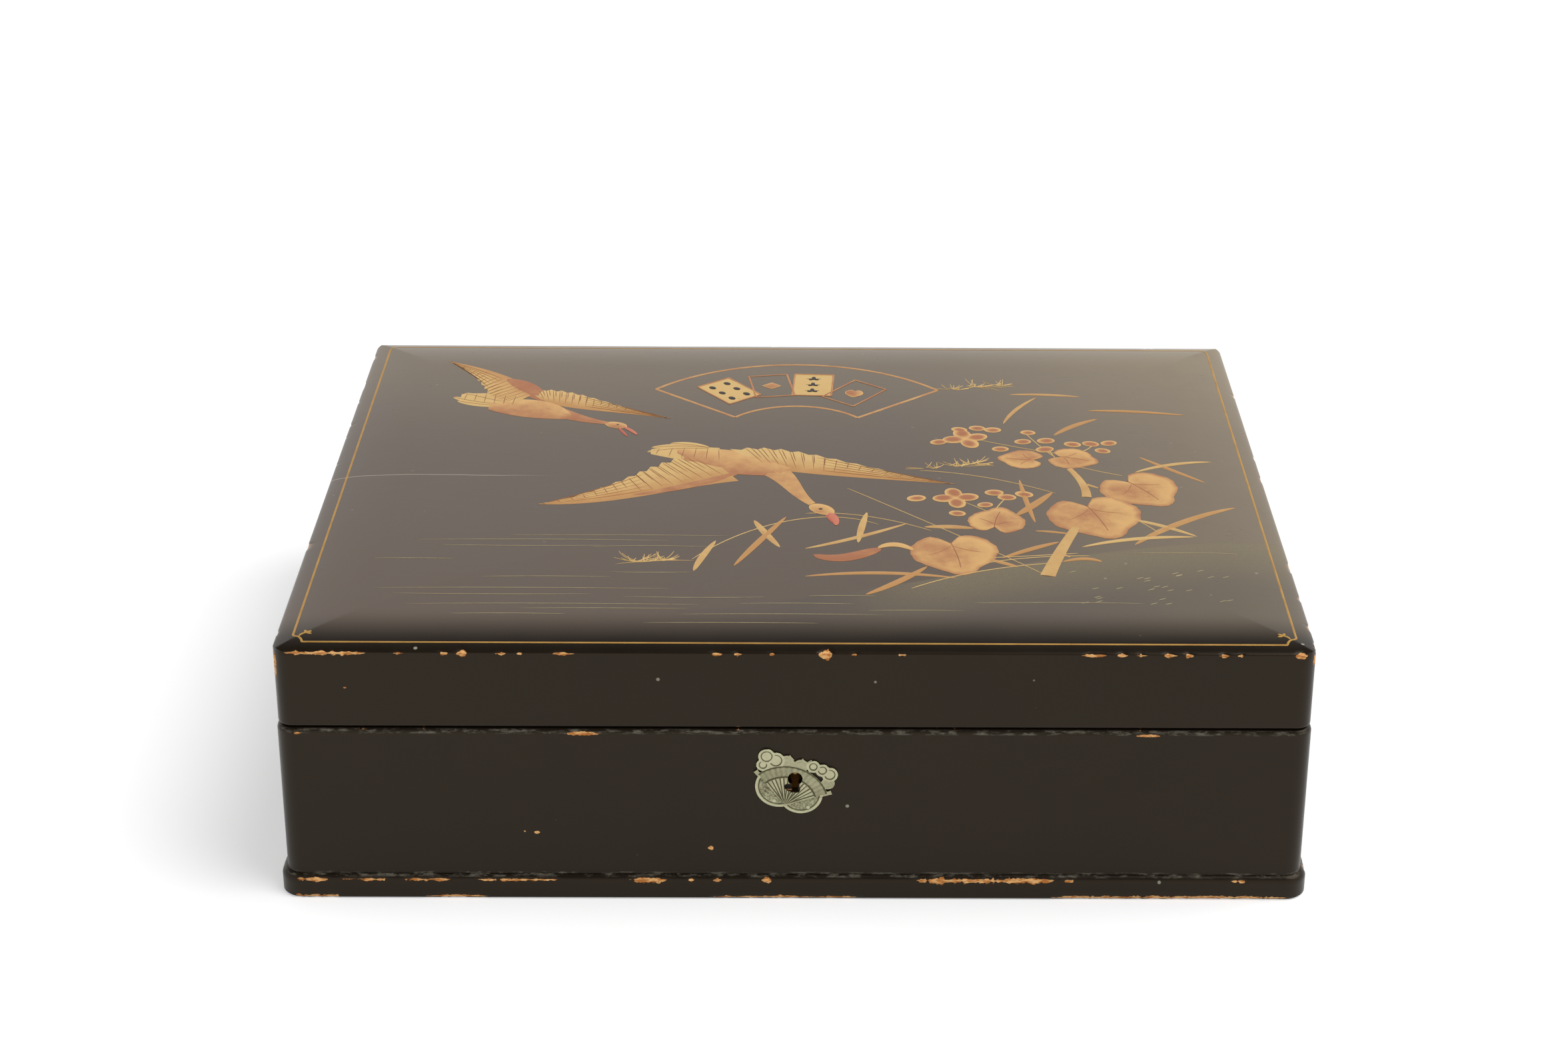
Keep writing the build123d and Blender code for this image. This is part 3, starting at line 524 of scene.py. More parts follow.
# %% [markdown]
# ## Worn edges
#
# Flakes of lacquer are lost where a case is gripped, set down and knocked: along the front edge of
# the lid and all round the foot. Each flake is given by the stretch of edge that it covers. Near it
# the wear number rises, and the vertices sink by the thickness of the lacquer, so that the loss is
# a real hollow and not only a colour.

# %% Flakes
SIDES = ("front", "right", "back", "left")


def side_of(point, half_x, half_y):
    """The side that a point lies nearest to, how far along it, and how far inside it, in millimetres."""
    insides = [half_y + point.y, half_x - point.x, half_y - point.y, half_x + point.x]
    inside, side = min((inside, n) for n, inside in enumerate(insides))
    return SIDES[side], (point.x, point.y)[side % 2], inside


def flakes_at_random(seed, half_x, half_y, level, count, long):
    """Flakes on the three sides that the photograph doesn't show."""
    chance = random.Random(seed)
    found = []
    for side in SIDES[1:]:
        half = half_x if side == "back" else half_y
        for _ in range(count):
            start = chance.uniform(-half, half - long)
            end = start + chance.uniform(0.15, 1) ** 2 * long
            found.append((side, start, end, chance.uniform(0.5, 1.3), level))
    return found


def flake(point, half_x, half_y, flakes):
    """How worn a point is, from 0 to 1, in the light of all flakes."""
    side, along, inside = side_of(point, half_x, half_y)
    worn = 0.0
    for place, start, end, size, level in flakes:
        if place != side or not start < along < end:
            continue
        across = (2 * along - start - end) / (end - start)
        ripple = 1 + 0.9 * noise.noise(Vector((along * 0.31, level, start)))
        ripple += 0.8 * noise.noise(Vector((along * 1.1, start, 0)))
        width = size * 1.7 * math.sqrt(1 - across * across) * max(0.05, ripple)
        worn = max(worn, 1 - math.hypot(inside, point.z - level) / width)
    return min(1.0, worn)


coat_thickness = 0.25  # what a flake sinks by


def age(piece, flakes):
    """Stores the wear on a board and sinks the flakes."""
    high = max(vertex.co.x for vertex in piece.data.vertices) / MM
    deep = max(vertex.co.y for vertex in piece.data.vertices) / MM
    marks = piece.data.attributes.new("wear", "FLOAT", "POINT")
    levels = sorted(set(f[4] for f in flakes))
    ways_out = [vertex.normal.copy() for vertex in piece.data.vertices]
    for vertex, way_out, mark in zip(piece.data.vertices, ways_out, marks.data):
        point = vertex.co / MM
        if min(abs(point.z - level) for level in levels) > 4:
            continue
        mark.value = flake(point, high, deep, flakes)
        vertex.co -= way_out * min(1.0, mark.value * 1.6) * coat_thickness * MM
    return piece


print("flakes are ready")

# %% [markdown]
# ## The lid's top board
#
# The top is flat in the middle and falls off to its edges in a quarter of a flat ellipse, with
# sharp mitres where two slopes meet at a corner. The rings of the wrapped board stand close
# together near the edge, where the curve is tight, and far apart on the flat. It is made a quarter
# of a millimetre lower than the CAD board, because the gold stands proud of it.

# %% Lid board
lid_low, lid_high = (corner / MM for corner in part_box("lid_board"))
wall_inner = Vector((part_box("body_right_wall")[0].x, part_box("body_back_wall")[0].y)) / MM
gold_room = 0.25
lid_half_x, lid_half_y = lid_high.x, lid_high.y
lid_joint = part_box("lid_front_wall")[1].z / MM
crown_reach, crown_rise, lid_corner = 27.0, 3.2, 5.5
lid_top = lid_high.z - gold_room
lid_arris = lid_top - crown_rise


def crown(x, y):
    """Height of the lid's surface."""
    inside = min(lid_half_x - abs(x), lid_half_y - abs(y))
    share = min(1.0, max(0.0, 1 - inside / crown_reach))
    return lid_arris + crown_rise * math.sqrt(1 - share * share)


def lid_level(x, y, height):
    return crown(x, y) if height is None else height


crown_insets = [0, 0.04, 0.12, 0.25, 0.45, 0.75, 1.2, 1.8, 2.6, 3.6, 5, 6.6, 8.6, 11, 14, 17, 20, 23.5]
crown_insets.append(crown_reach)
rebate = 0.2  # room between the board's underside and the walls
lid_rings = [(wall_inner.x - rebate, wall_inner.y - rebate, 0.0, z) for z in (lid_low.z, lid_joint)]
lid_rings += [(lid_half_x, lid_half_y, lid_corner, z) for z in (lid_joint, 91.5, 92.8, 93.4, 93.8)]
lid_rings += [(lid_half_x - d, lid_half_y - d, max(0, lid_corner - d), None) for d in crown_insets]
lid_board = wrapped("lid_top_board", lid_rings, lid_level)

# %% [markdown]
# The places of the front flakes are read off the real edge. The others are strewn by a seeded
# random number, so that they are the same each time.

# %% Lid flakes
front_flakes = [
    (-172, -143, 0.9), (-134, -131, 0.6), (-119, -116, 1.2), (-113, -109.5, 1.2), (-100, -97, 0.8),
    (-93, -91, 0.6), (-81, -74, 0.7), (-28, -24.5, 0.8), (-20.5, -18, 0.7), (-9, -6.5, 0.6),
    (7.5, 12.5, 1.8), (19, 21, 0.6), (34.5, 37, 0.9), (96, 104, 0.7), (108, 111, 1.1),
    (114.5, 117.5, 0.8), (123, 127.5, 0.8), (130.5, 133, 0.7), (142, 145, 0.7), (148, 150, 0.8),
    (167, 174, 1.1),
]
lid_flakes = [("front", start, end, size, lid_arris) for start, end, size in front_flakes]
lid_flakes += flakes_at_random(3, lid_half_x, lid_half_y, lid_arris, 9, 9)
age(lid_board, lid_flakes)
lid_board.data.materials.append(lid_lacquer.material)
bpy.ops.object.shade_smooth_by_angle(angle=math.radians(40))
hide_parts("lid_board")
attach(lid_board, "lid")
print("flakes on the lid:", len(lid_flakes))

# %% [markdown]
# ## The base board
#
# The foot of the case sticks out a little on all sides, and its upper edge is rounded. It takes
# most of the knocks: long stretches of it are rubbed down to the wood.

# %% Base board
base_low, base_high = (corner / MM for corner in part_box("base_board"))
base_round, base_chamfer, base_corner = 2.6, 0.5, 8.0
quarter_turn = [math.pi / 2 * n / 7 for n in range(8)]


def base_ring(inset, height):
    return (base_high.x - inset, base_high.y - inset, base_corner - inset, height)


base_rings = [base_ring(base_chamfer, 0.0)]
base_rings += [base_ring(0, z) for z in (base_chamfer, 1.0, 2.0, 4.0, 5.4)]
for turn in quarter_turn:
    rounded_in, rounded_down = (base_round * (1 - wave(turn)) for wave in (math.cos, math.sin))
    base_rings.append(base_ring(rounded_in, base_high.z - rounded_down))
base_rings += [base_ring(inset, base_high.z) for inset in (3.2, 4.4)]
base_board = wrapped("foot_board", base_rings, lambda x, y, height: height)
edge_level, foot_level = base_high.z - base_round * 0.6, 0.6
upper_flakes = [
    (-173, -160, 0.8), (-157, -139, 0.6), (-136, -118, 0.7), (-112, -80, 0.6), (-58, -43, 1.0),
    (-37, -34, 0.8), (-28, -25, 0.9), (-11.5, -8, 1.3), (40, 66, 1.1), (60, 90, 1.4), (92, 97, 0.6),
    (150, 156, 0.7),
]
lower_flakes = [(-174, -157, 0.9), (-128, -106, 0.7), (-30, 24, 0.5), (88, 118, 0.7), (112, 171, 0.9)]
base_flakes = [("front", start, end, size, edge_level) for start, end, size in upper_flakes]
base_flakes += [("front", start, end, size, foot_level) for start, end, size in lower_flakes]
base_flakes += flakes_at_random(5, base_high.x, base_high.y, edge_level, 12, 30)
base_flakes += flakes_at_random(8, base_high.x, base_high.y, foot_level, 5, 40)
age(base_board, base_flakes)
base_board.data.materials.append(outer_lacquer.material)
bpy.ops.object.shade_smooth_by_angle(angle=math.radians(40))
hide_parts("base_board")
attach(base_board, "case")
print("flakes on the foot:", len(base_flakes))

# %% [markdown]
# ## How the gold figures are laid
#
# A figure could be painted into the lid's colour, but real gold stands in low relief, and its edge
# catches the light. So each stroke is a small strip of grid and each leaf is a disc with inset
# rings. A copy of the blank is bent to its place by a rule, laid on the crown of the lid or on a
# flat top, and given its tone. All figures of one finish are joined, and a Solidify modifier gives
# them their thickness down into the lacquer.

# %% Blanks and rules
strip = blank(bpy.ops.mesh.primitive_grid_add, x_subdivisions=22, y_subdivisions=4, size=2)
disc = blank(bpy.ops.mesh.primitive_circle_add, vertices=44, radius=1, fill_type="NGON")
bpy.ops.object.mode_set(mode="EDIT")
bpy.ops.mesh.select_all(action="SELECT")
for _ in range(5):
    bpy.ops.mesh.inset(thickness=0.16)
bpy.ops.mesh.poke()
bpy.ops.object.mode_set(mode="OBJECT")
RELIEF = 0.09  # height of a figure's middle over its edge
figure_depth = 0.1  # how far a figure goes down into the lacquer


def bezier(points, share):
    """A point on the curve that a few given points pull into shape."""
    points = [Vector(point) for point in points]
    while len(points) > 1:
        points = [a.lerp(b, share) for a, b in zip(points, points[1:])]
    return points[0]


def laid(source, rule, layer=0, level=crown):
    """A copy of a blank, bent by a rule that turns its place into (x, y, relief, tone)."""
    mesh = source.data.copy()
    copy = bpy.data.objects.new("figure", mesh)
    bpy.context.scene.collection.objects.link(copy)
    tones = mesh.attributes.new("tone", "FLOAT", "POINT")
    for vertex, mark in zip(mesh.vertices, tones.data):
        x, y, relief, tone = rule(vertex.co.x, vertex.co.y)
        lift = 0.02 + 0.03 * layer + relief * RELIEF
        vertex.co = Vector((x, y, level(x, y) + lift)) * MM
        mark.value = tone
    mesh.update()
    if mesh.polygons[len(mesh.polygons) // 2].normal.z < 0:
        mesh.flip_normals()
    return copy


def ribbon(path, width_at, height_at, tone, layer, level=crown):
    """A strip along a curve, whose width and height follow the share of the way along it."""

    def rule(u, v):
        share = (u + 1) / 2
        ahead = bezier(path, min(1, share + 0.01)) - bezier(path, max(0, share - 0.01))
        across = Vector((-ahead.y, ahead.x)).normalized()
        here = bezier(path, share) + across * v * width_at(share) / 2
        return here.x, here.y, (1 - v * v) * height_at(share), tone

    return laid(strip, rule, layer, level)


def stroke(path, width, tone=0.6, layer=0, ends=0.55, thin=0.08, level=crown):
    """A brush stroke along a curve. It swells and thins by a power of its half wave."""

    def swell(share):
        return thin + (1 - thin) * max(0.0, math.sin(math.pi * min(1, max(0, share)))) ** ends

    return ribbon(path, lambda share: width * swell(share), swell, tone, layer, level)


def taper(path, start, end, tone=0.5, layer=0):
    """A stroke that goes from one width to another, for a neck, a stem or a beak."""
    return ribbon(path, lambda share: start + (end - start) * share, lambda share: 1, tone, layer)


def band(lead, trail, tones, layer=0, scallops=0, scallop_depth=0.0):
    """A filled shape between two curves, for a wing or a body. Tones run from the first to the second."""

    def rule(u, v):
        along, across = (u + 1) / 2, (v + 1) / 2
        near, far = bezier(lead, along), bezier(trail, along)
        if scallops:
            far = far.lerp(near, scallop_depth * abs(math.sin(math.pi * scallops * along)))
        here = near.lerp(far, across)
        relief = 1 - (2 * across - 1) ** 4
        return here.x, here.y, relief, tones[0] + (tones[1] - tones[0]) * across

    return laid(strip, rule, layer)


def patch(centre, size, turn, shape, tones=(0.2, 0.6, 1.0), layer=0, level=crown):
    """A leaf, petal or spot: a disc whose radius follows a shape. Tones: middle, body, rim."""
    cosine, sine = math.cos(math.radians(turn)), math.sin(math.radians(turn))
    middle, body, rim = tones

    def rule(u, v):
        radius, angle = math.hypot(u, v), math.atan2(v, u)
        along, across = shape(angle)
        x, y = size * radius * along * math.cos(angle), size * radius * across * math.sin(angle)
        here = (centre[0] + x * cosine - y * sine, centre[1] + x * sine + y * cosine)
        tone = middle + (body - middle) * radius ** 2 + 0.2 * v
        return *here, (1 - radius ** 3), rim if radius > 0.95 else tone

    return laid(disc, rule, layer, level)


def gathered(name, figures, finish, body="lid"):
    """Joins figures of one finish into a piece that rides on a body."""
    deselect()
    for figure in figures:
        figure.select_set(True)
    bpy.context.view_layer.objects.active = figures[0]
    bpy.ops.object.join()
    piece = bpy.context.object
    piece.name = name
    bpy.ops.object.modifier_add(type="SOLIDIFY")
    piece.modifiers[0].thickness = figure_depth * MM
    piece.modifiers[0].offset = -1
    bpy.ops.object.modifier_apply(modifier=piece.modifiers[0].name)
    bpy.ops.object.shade_smooth_by_angle(angle=math.radians(50))
    piece.data.materials.append(finish.material)
    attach(piece, body)
    print(name, "has", len(figures), "strokes and", len(piece.data.polygons), "faces")
    return piece


# %% [markdown]
# ## The gold border
#
# A thin gold line runs round the lid. At the two front corners it ends in a small hook and a sprig,
# and at the back it turns a plain rounded corner. It is a ribbon that follows a path of straight
# runs and short curves.

# %% Gold border
border = 6.3  # from the lid's edge to the line
line_width = 0.8
left, right = -lid_half_x + border, lid_half_x - border
front, back = -lid_half_y + border - 1.6, lid_half_y - border


def line(*path):
    """A thin line of even width."""
    return taper(path, line_width, line_width, 0.6)


def near_corner(inward, *places):
    """Places near a front corner, measured inwards from the side line and back from the front line."""
    side = left if inward > 0 else right
    return [(side + inward * x, front + y) for x, y in places]


border_lines = [line((left + 3.4, front), (right - 3.4, front)), line((left + 4, back), (right - 4, back))]
for inward, side in ((1, left), (-1, right)):
    border_lines.append(line((side, front + 5.4), (side, back - 4)))
    border_lines.append(line((side, back - 4), (side, back), (side + inward * 4, back)))
    border_lines.append(line(*near_corner(inward, (0, 5.6), (-0.3, 3.4), (1.6, 3.0))))
    border_lines.append(line(*near_corner(inward, (1.4, 3.1), (2.9, 2.6), (3.6, 0))))
    stem = near_corner(inward, (2.2, 3.2), (2.6, 5.0), (4.6, 5.4))
    border_lines.append(stroke(stem, 0.9, 0.7, ends=0.4))
    for tip in ((3.6, 7.0), (6.2, 4.6), (6.0, 6.4)):
        border_lines.append(stroke(near_corner(inward, (4.2, 5.3), tip), 1.0, 0.7, layer=1))
gathered("gold_border", border_lines, line_gold)

# %% [markdown]
# ## Two geese
#
# Wild geese that come down to the reeds are one of the oldest subjects in lacquer. Each bird is
# built as a painter builds it: the wings as bands between their leading and trailing curves, the
# body, the neck as one stroke that narrows, and last the quills, which are thin russet strokes that
# fan out to the trailing edge.

# %% Geese
def quills(lead, trail, count, reach, tone=0.3, width=0.34, start=0.06, end=0.94):
    """Thin strokes across a wing, from part of the way over to its trailing edge, leaning outwards."""
    found = []
    for n in range(count):
        share = start + (end - start) * n / (count - 1)
        root, tip = bezier(lead, share), bezier(trail, min(1, share + 0.05))
        found.append(stroke([root.lerp(tip, reach), root.lerp(tip, 0.96)], width, tone, layer=3, ends=0.8))
    return found


def barbs(lead, trail, start=0.45, shares=(0.2, 0.36, 0.52, 0.68, 0.84)):
    """Long thin strokes that run out to the tip of a wing, between its two curves."""
    found = []
    for share in shares:
        way = [bezier(lead, s).lerp(bezier(trail, s), share) for s in (start, (start + 0.97) / 2, 0.97)]
        found.append(stroke(way, 0.34, 0.4, layer=3, ends=0.5))
    return found


def ellipse(along, across):
    """Shape of a plain oval."""
    return lambda angle: (along, across)


big_near = ([(-22, -4), (-44, -9), (-66, -27), (-95, -25)], [(-36, 21), (-60, 14), (-60, -8), (-95, -25)])
big_far = ([(-12, 8), (2, 2), (18, 0), (59, -6)], [(-26, 25), (-2, 33), (20, 9), (59, -6)])
big_body = ([(-46, 25), (-34, 26), (-12, 25), (-2, 8)], [(-46, 20), (-38, 6), (-26, 0), (-8, 1)])
small_near = (
    [(-104, 79), (-112, 92), (-124, 103), (-143, 111)], [(-115, 65), (-128, 76), (-123, 91), (-143, 111)],
)
small_far = ([(-101, 70), (-92, 62), (-74, 61), (-50, 54)], [(-108, 81), (-90, 87), (-80, 69), (-50, 54)])
small_body = ([(-122, 69), (-112, 74), (-98, 74), (-90, 60)], [(-122, 62), (-112, 54), (-98, 52), (-88, 53)])

feathers, flesh, quill_lines = [], [], []
for lead, trail in (big_near, big_far, small_near, small_far):
    feathers.append(band(lead, trail, (0.1, 1.0), scallops=11, scallop_depth=0.09))
    quill_lines += quills(lead, trail, 17, 0.5)
    quill_lines += quills(lead, trail, 9, 0.2, 0.3, 0.3, 0.03, 0.5) + barbs(lead, trail)
for lead, trail in (big_body, small_body):
    flesh.append(band(lead, trail, (0.75, 0.3), layer=1))
tails = [
    [(-34, 25), (-44, 27), (-57.5, 22)], [(-34, 26), (-44, 29), (-56, 26)],
    [(-34, 26), (-42, 30), (-49, 29.5)], [(-116, 67), (-126, 68), (-137, 74)],
    [(-116, 66), (-126, 66), (-135, 70.5)], [(-116, 69), (-124, 73), (-133, 78)],
]
for path in tails:
    feathers.append(stroke(path, 4.4, 0.9, ends=0.5))
    quill_lines.append(stroke(path, 0.4, 0.1, layer=2))
flesh.append(taper([(-15, 10), (-3, 4), (-3, -12), (5.5, -24)], 13, 3.0, 0.55, 1))
flesh.append(patch((9.0, -28.5), 5.6, -46, ellipse(1.0, 0.66), (0.55, 0.8, 0.9), 2))
flesh.append(taper([(-99, 63), (-90, 56), (-82, 51), (-74, 49)], 10, 2.2, 0.3, 1))
flesh.append(patch((-70.8, 47.2), 4.6, -24, ellipse(1.0, 0.6), (0.4, 0.6, 0.8), 2))
flesh.append(stroke([(-62, -17), (-34, -8), (-16, 10)], 5.0, 0.3, 1, 0.7))
flesh.append(stroke([(-119, 92), (-110, 87), (-100, 70)], 10.0, 0.2, 1, 0.7))
rumps = (
    ([(-56, 20), (-46, 15), (-38, 12), (-28, 12)], [(-56, 24.5), (-46, 27), (-38, 27), (-30, 26)]),
    ([(-134, 71), (-126, 68), (-118, 64), (-112, 64)], [(-134, 77), (-127, 79), (-120, 78), (-112, 76)]),
)
for lead, trail in rumps:
    feathers.append(band(lead, trail, (0.9, 0.7)))
    quill_lines += quills(lead, trail, 6, 0.1, 0.1, 0.3)
beaks = [
    stroke([(11.5, -31.5), (14.2, -35), (14.2, -42)], 3.0, 0.6, 3, 0.45),
    stroke([(10.5, -33), (12, -37), (14.0, -41.2)], 1.4, 0.1, 2, 0.45),
    stroke([(-68.5, 46), (-65, 43), (-62.2, 38)], 1.7, 0.6, 3, 0.45),
    stroke([(-70, 45), (-68, 41), (-66.0, 36.6)], 1.2, 0.1, 2, 0.45),
]
eye_shape, eye_tones = ellipse(1.0, 0.9), (0.0, 0.1, 0.3)
eye_places = (((8.6, -28.4), 0.85), ((-70.2, 47.4), 0.6))
eyes = [patch(place, size, 0, eye_shape, eye_tones, 4) for place, size in eye_places]
gathered("goose_feathers", feathers, pale_gold)
gathered("goose_flesh", flesh, gold_powder)
quill_russet = gold("quill_russet", colour(186, 124, 74), colour(146, 88, 54))
gathered("goose_quills", quill_lines, quill_russet)
gathered("goose_beaks", beaks, vermilion)
gathered("goose_eyes", eyes, ink)

# %% [markdown]
# ## Leaves, berries and reeds
#
# By the water grow broad heart-shaped leaves with a notch at the stem, sprays of small oval
# berries, and reeds whose blades bend and cross. A leaf's outline is a circle with a point pulled
# out on one side and a notch pressed in on the other.

# %% Plants
def heart_leaf(angle):
    """Shape of a broad leaf that points along +X, with its notch behind."""
    point = 0.3 * math.exp(-((angle / 0.34) ** 2))
    notch = 0.5 * math.exp(-(((math.pi - abs(angle)) / 0.26) ** 2))
    wave = 0.012 * math.sin(9 * angle) + 0.012 * math.sin(27 * angle)
    radius = 0.92 + point - notch + wave
    return radius, radius * 1.1


def petal(angle):
    """Shape of a small petal, rounder at its outer end."""
    radius = 1 - 0.16 * math.cos(angle)
    return radius, radius * 0.72


leaves = [
    (56, -63, 15.6, -82), (108.5, -32, 17.2, -74), (127, -9, 14.8, -58), (72.5, -38.5, 10.4, 78),
    (86, 16.5, 8.4, 172), (103.5, 17.5, 9.2, -20),
]
leaf_tones = (0.45, 0.8, 0.35)
foliage, veins = [], []
for x, y, size, turn in leaves:
    foliage.append(patch((x, y), size, turn, heart_leaf, leaf_tones, 1))
    way = Vector((math.cos(math.radians(turn)), math.sin(math.radians(turn))))
    side = Vector((-way.y, way.x))
    root = Vector((x, y)) - way * size * 0.5
    veins.append(stroke([root, root + way * size * 0.7 + side, root + way * size * 1.35], 0.5, 0.9, 3, 0.3))
    for lean in (-1, 1):
        vein = [root + way * size * 0.2, root + way * size * 0.5 + side * lean * size * 0.25]
        vein.append(root + way * size * 0.62 + side * lean * size * 0.62)
        veins.append(stroke(vein, 0.36, 0.9, 3, 0.3))
foliage.append(stroke([(6, -66), (16, -73), (24, -64), (30, -61)], 6.0, 0.2, 1, 0.45))
foliage.append(stroke([(29, -60.5), (35, -54), (41.5, -62)], 3.4, 0.9, 2, 0.5))

petals = []
flowers = (((64.5, 35.5), (20, 105, 190, 290), 4.6), ((58.5, -18.2), (10, 100, 185, 275), 4.4))
for centre, angles, size in flowers:
    for angle in angles:
        way = Vector((math.cos(math.radians(angle)), math.sin(math.radians(angle)))) * size * 1.12
        petals.append(patch((centre[0] + way.x, centre[1] + way.y), size, angle, petal, (0.0, 1.1, 1.2), 1))
berries = [
    (54.5, 32.5), (78, 26), (87, 33), (89.5, 41.5), (96, 34), (95, 26), (106, 30.5), (113, 31),
    (117, 24.5), (120, 32), (76, 44), (70, 45.5), (44.5, -18.5), (59, -31.5), (69.5, -24), (78, -17.5),
    (84.5, -15), (73.5, -13.5), (63, 44),
]
chance = random.Random(11)
for x, y in berries:
    tones = (0.05, chance.uniform(0.9, 1.3), 1.2)
    petals.append(patch((x, y), chance.uniform(2.9, 3.6), chance.uniform(-20, 20), petal, tones, 1))

blades = [
    ([(3, -61), (20, -54), (40, -40)], 2.2), ([(22, -56), (23, -44), (25.5, -31)], 2.6),
    ([(3, -83), (30, -77), (56, -84)], 2.4), ([(24, -97), (36, -88), (46, -75)], 3.0),
    ([(121, -57), (136, -38), (161, -25)], 3.2), ([(102, -59), (120, -50), (143, -50.5)], 2.4),
    ([(122, -36), (132, -40), (144, -50)], 2.2), ([(80, -33), (86, -26), (94.5, -13)], 3.4),
    ([(68, -69), (73, -72), (78, -75)], 2.2), ([(73, -68), (84, -60), (94, -55)], 2.6),
    ([(130, 19), (140, 8), (152.5, -4)], 2.0), ([(127, 5), (140, 14), (157, 15)], 2.2),
    ([(99, 39), (106, 49), (117, 55)], 2.6), ([(80, 50), (84, 64), (94.5, 76)], 1.8),
    ([(84, 79), (98, 80), (112, 77)], 2.0), ([(114, 63), (130, 64), (152, 59)], 2.2),
    ([(-36, -79), (-34, -68), (-29, -55)], 2.6), ([(-22, -75), (-14, -56), (-4, -35)], 2.6),
    ([(-15.5, -38), (-12, -48), (-6, -60)], 2.8), ([(83, -2), (84, -20), (86.5, -39)], 2.0),
    ([(46, -43), (56, -42), (64, -44)], 3.0), ([(94, -71), (103, -66), (108, -71)], 2.2),
    ([(86, -46), (92, -46), (100, -49)], 1.6),
]
reeds = [stroke(path, width, 0.8 * chance.random(), layer=n % 2) for n, (path, width) in enumerate(blades)]
canes = [([(88, -82), (93, -64), (101, -43)], 5.4), ([(107, -17), (108, -6), (102.5, 8)], 3.6)]
reeds += [taper(path, width, width * 0.62, 0.55, 1) for path, width in canes]
reeds += [taper([path[1], (path[1][0] + 4, path[1][1] - 3)], 1.6, 0.8, 0.5, 0) for path, width in canes]

stems = [
    [(18.5, -10), (45, -36), (76, -68), (86, -80)], [(3, -32), (24, -29), (48.5, -46)],
    [(46, 6), (70, 4), (96, -14)], [(-37, -70), (-18, -40), (10, -26), (29.5, -41)],
    [(69, 35), (86, 26), (105, 20)], [(62, -22), (70, -30), (74, -34)],
    [(77, -18), (74, -24), (72, -30)], [(96, 26), (97, 20), (98, 18)],
    [(105, 21), (112, 26), (113, 30)], [(88, 41), (92, 30), (97, 20)], [(96, 16), (112, 6), (122, 2)],
    [(45, -70), (72, -68), (100, -64)], [(122, -34), (128, -42), (131, -48)],
    [(62, -74), (80, -66), (104, -66)], [(40, -92), (62, -76), (90, -72)],
]
thin = [stroke(path, 0.45, 0.8, 0, 0.15, 0.4) for path in stems]


def tuft(x, y, length, count, lean):
    """A tuft of grass: fine strokes that fan out of one place."""
    for n in range(2 * count):
        angle = math.radians(lean + (n / 2 - count / 2) * 160 / count)
        reach = length * chance.uniform(0.5, 1.7)
        start = (x + chance.uniform(-3, 3), y + chance.uniform(-0.6, 0.6))
        middle = (start[0] + math.cos(angle) * reach * 0.7, start[1] + math.sin(angle) * reach * 0.3)
        tip = (start[0] + math.cos(angle) * reach, start[1] + math.sin(angle) * reach * 0.8)
        thin.append(stroke([start, middle, tip], 0.3, 0.8, 0, 0.3))


for x, y, length, count, lean in (
    (-56, -72, 7, 9, 100), (-48, -71, 6, 8, 80), (62, 84, 5, 6, 100), (70, 87, 7, 8, 40), (80, 88, 5, 6, 60),
    (60, 10, 6, 7, 90), (66, 12, 7, 9, 60), (50, 8, 5, 5, 120),
):
    tuft(x, y, length, count, lean)
thin.append(stroke([(-64, -74), (-50, -70), (-36, -71)], 0.5, 0.6))
gathered("broad_leaves", foliage, gold_powder)
vein_russet = gold("vein_russet", colour(160, 100, 62), colour(130, 78, 48), 0.2)
gathered("leaf_veins", veins, vein_russet)
gathered("berries_and_petals", petals, gold_powder)
gathered("reed_blades", reeds, pale_gold)
gathered("stems_and_grass", thin, pale_gold)

# %% [markdown]
# ## Water and bank
#
# The water is nothing but a few long level strokes of thin gold, and the bank a scatter of short
# ones. They are fainter than the rest: the powder was strewn thinly, and hands have rubbed it.

# %% Water
ripples = [
    (-137, -55, 92, 1.5), (-128, -59, 60, -1.0), (-104, -51, 80, 1.0), (-74, -60, 44, 1.6),
    (-147, -93, 105, 1.2), (-140, -97, 70, -0.8), (-135, -105, 104, 1.4), (-96, -108, 60, 0.8),
    (-60, -99, 50, -1.2), (-40, -112, 70, 1.0), (-20, -104, 40, 0.8), (-110, -84, 46, 1.0),
    (-66, -80, 30, -0.8), (24, -109, 34, 1.0), (-52, -118, 60, 0.6), (4, -98, 24, 0.6),
    (-150, -70, 30, 0.6), (118, -64, 40, 1.4), (60, -103, 60, 1.2), (-118, -112, 40, 0.7),
]
water = []
for x, y, long, sag in ripples:
    water.append(stroke([(x, y), (x + long / 2, y + sag), (x + long, y)], 0.36, 0.6, 0, 0.4))
for _ in range(26):
    x, y = chance.uniform(92, 150), chance.uniform(-104, -78)
    water.append(stroke([(x, y), (x + 2.6, y + 1.2)], 0.35, 0.6, 0, 0.4))
gathered("water_lines", water, faint_gold)

# %% [markdown]
# ## The fan with cards
#
# An open fan frames four playing cards, two of them filled with gold and two drawn in outline. The
# fan is two arcs about one centre and two straight sides. The cards are spread about the same
# centre.

# %% Fan and cards
fan_centre = Vector((-0.8, 34.9))
fan_outer, fan_inner, fan_half_angle = 74.0, 31.5, 49.5
fan_line_width = 1.3
card_width, card_height = 15.5, 21.5
corner_signs = ((-1, -1), (1, -1), (1, 1), (-1, 1))  # which way each corner lies from the middle


def on_fan(radius, angle):
    """A point by its distance from the fan's centre and its angle from straight back."""
    turn = math.radians(angle)
    return fan_centre + Vector((math.sin(turn), math.cos(turn))) * radius


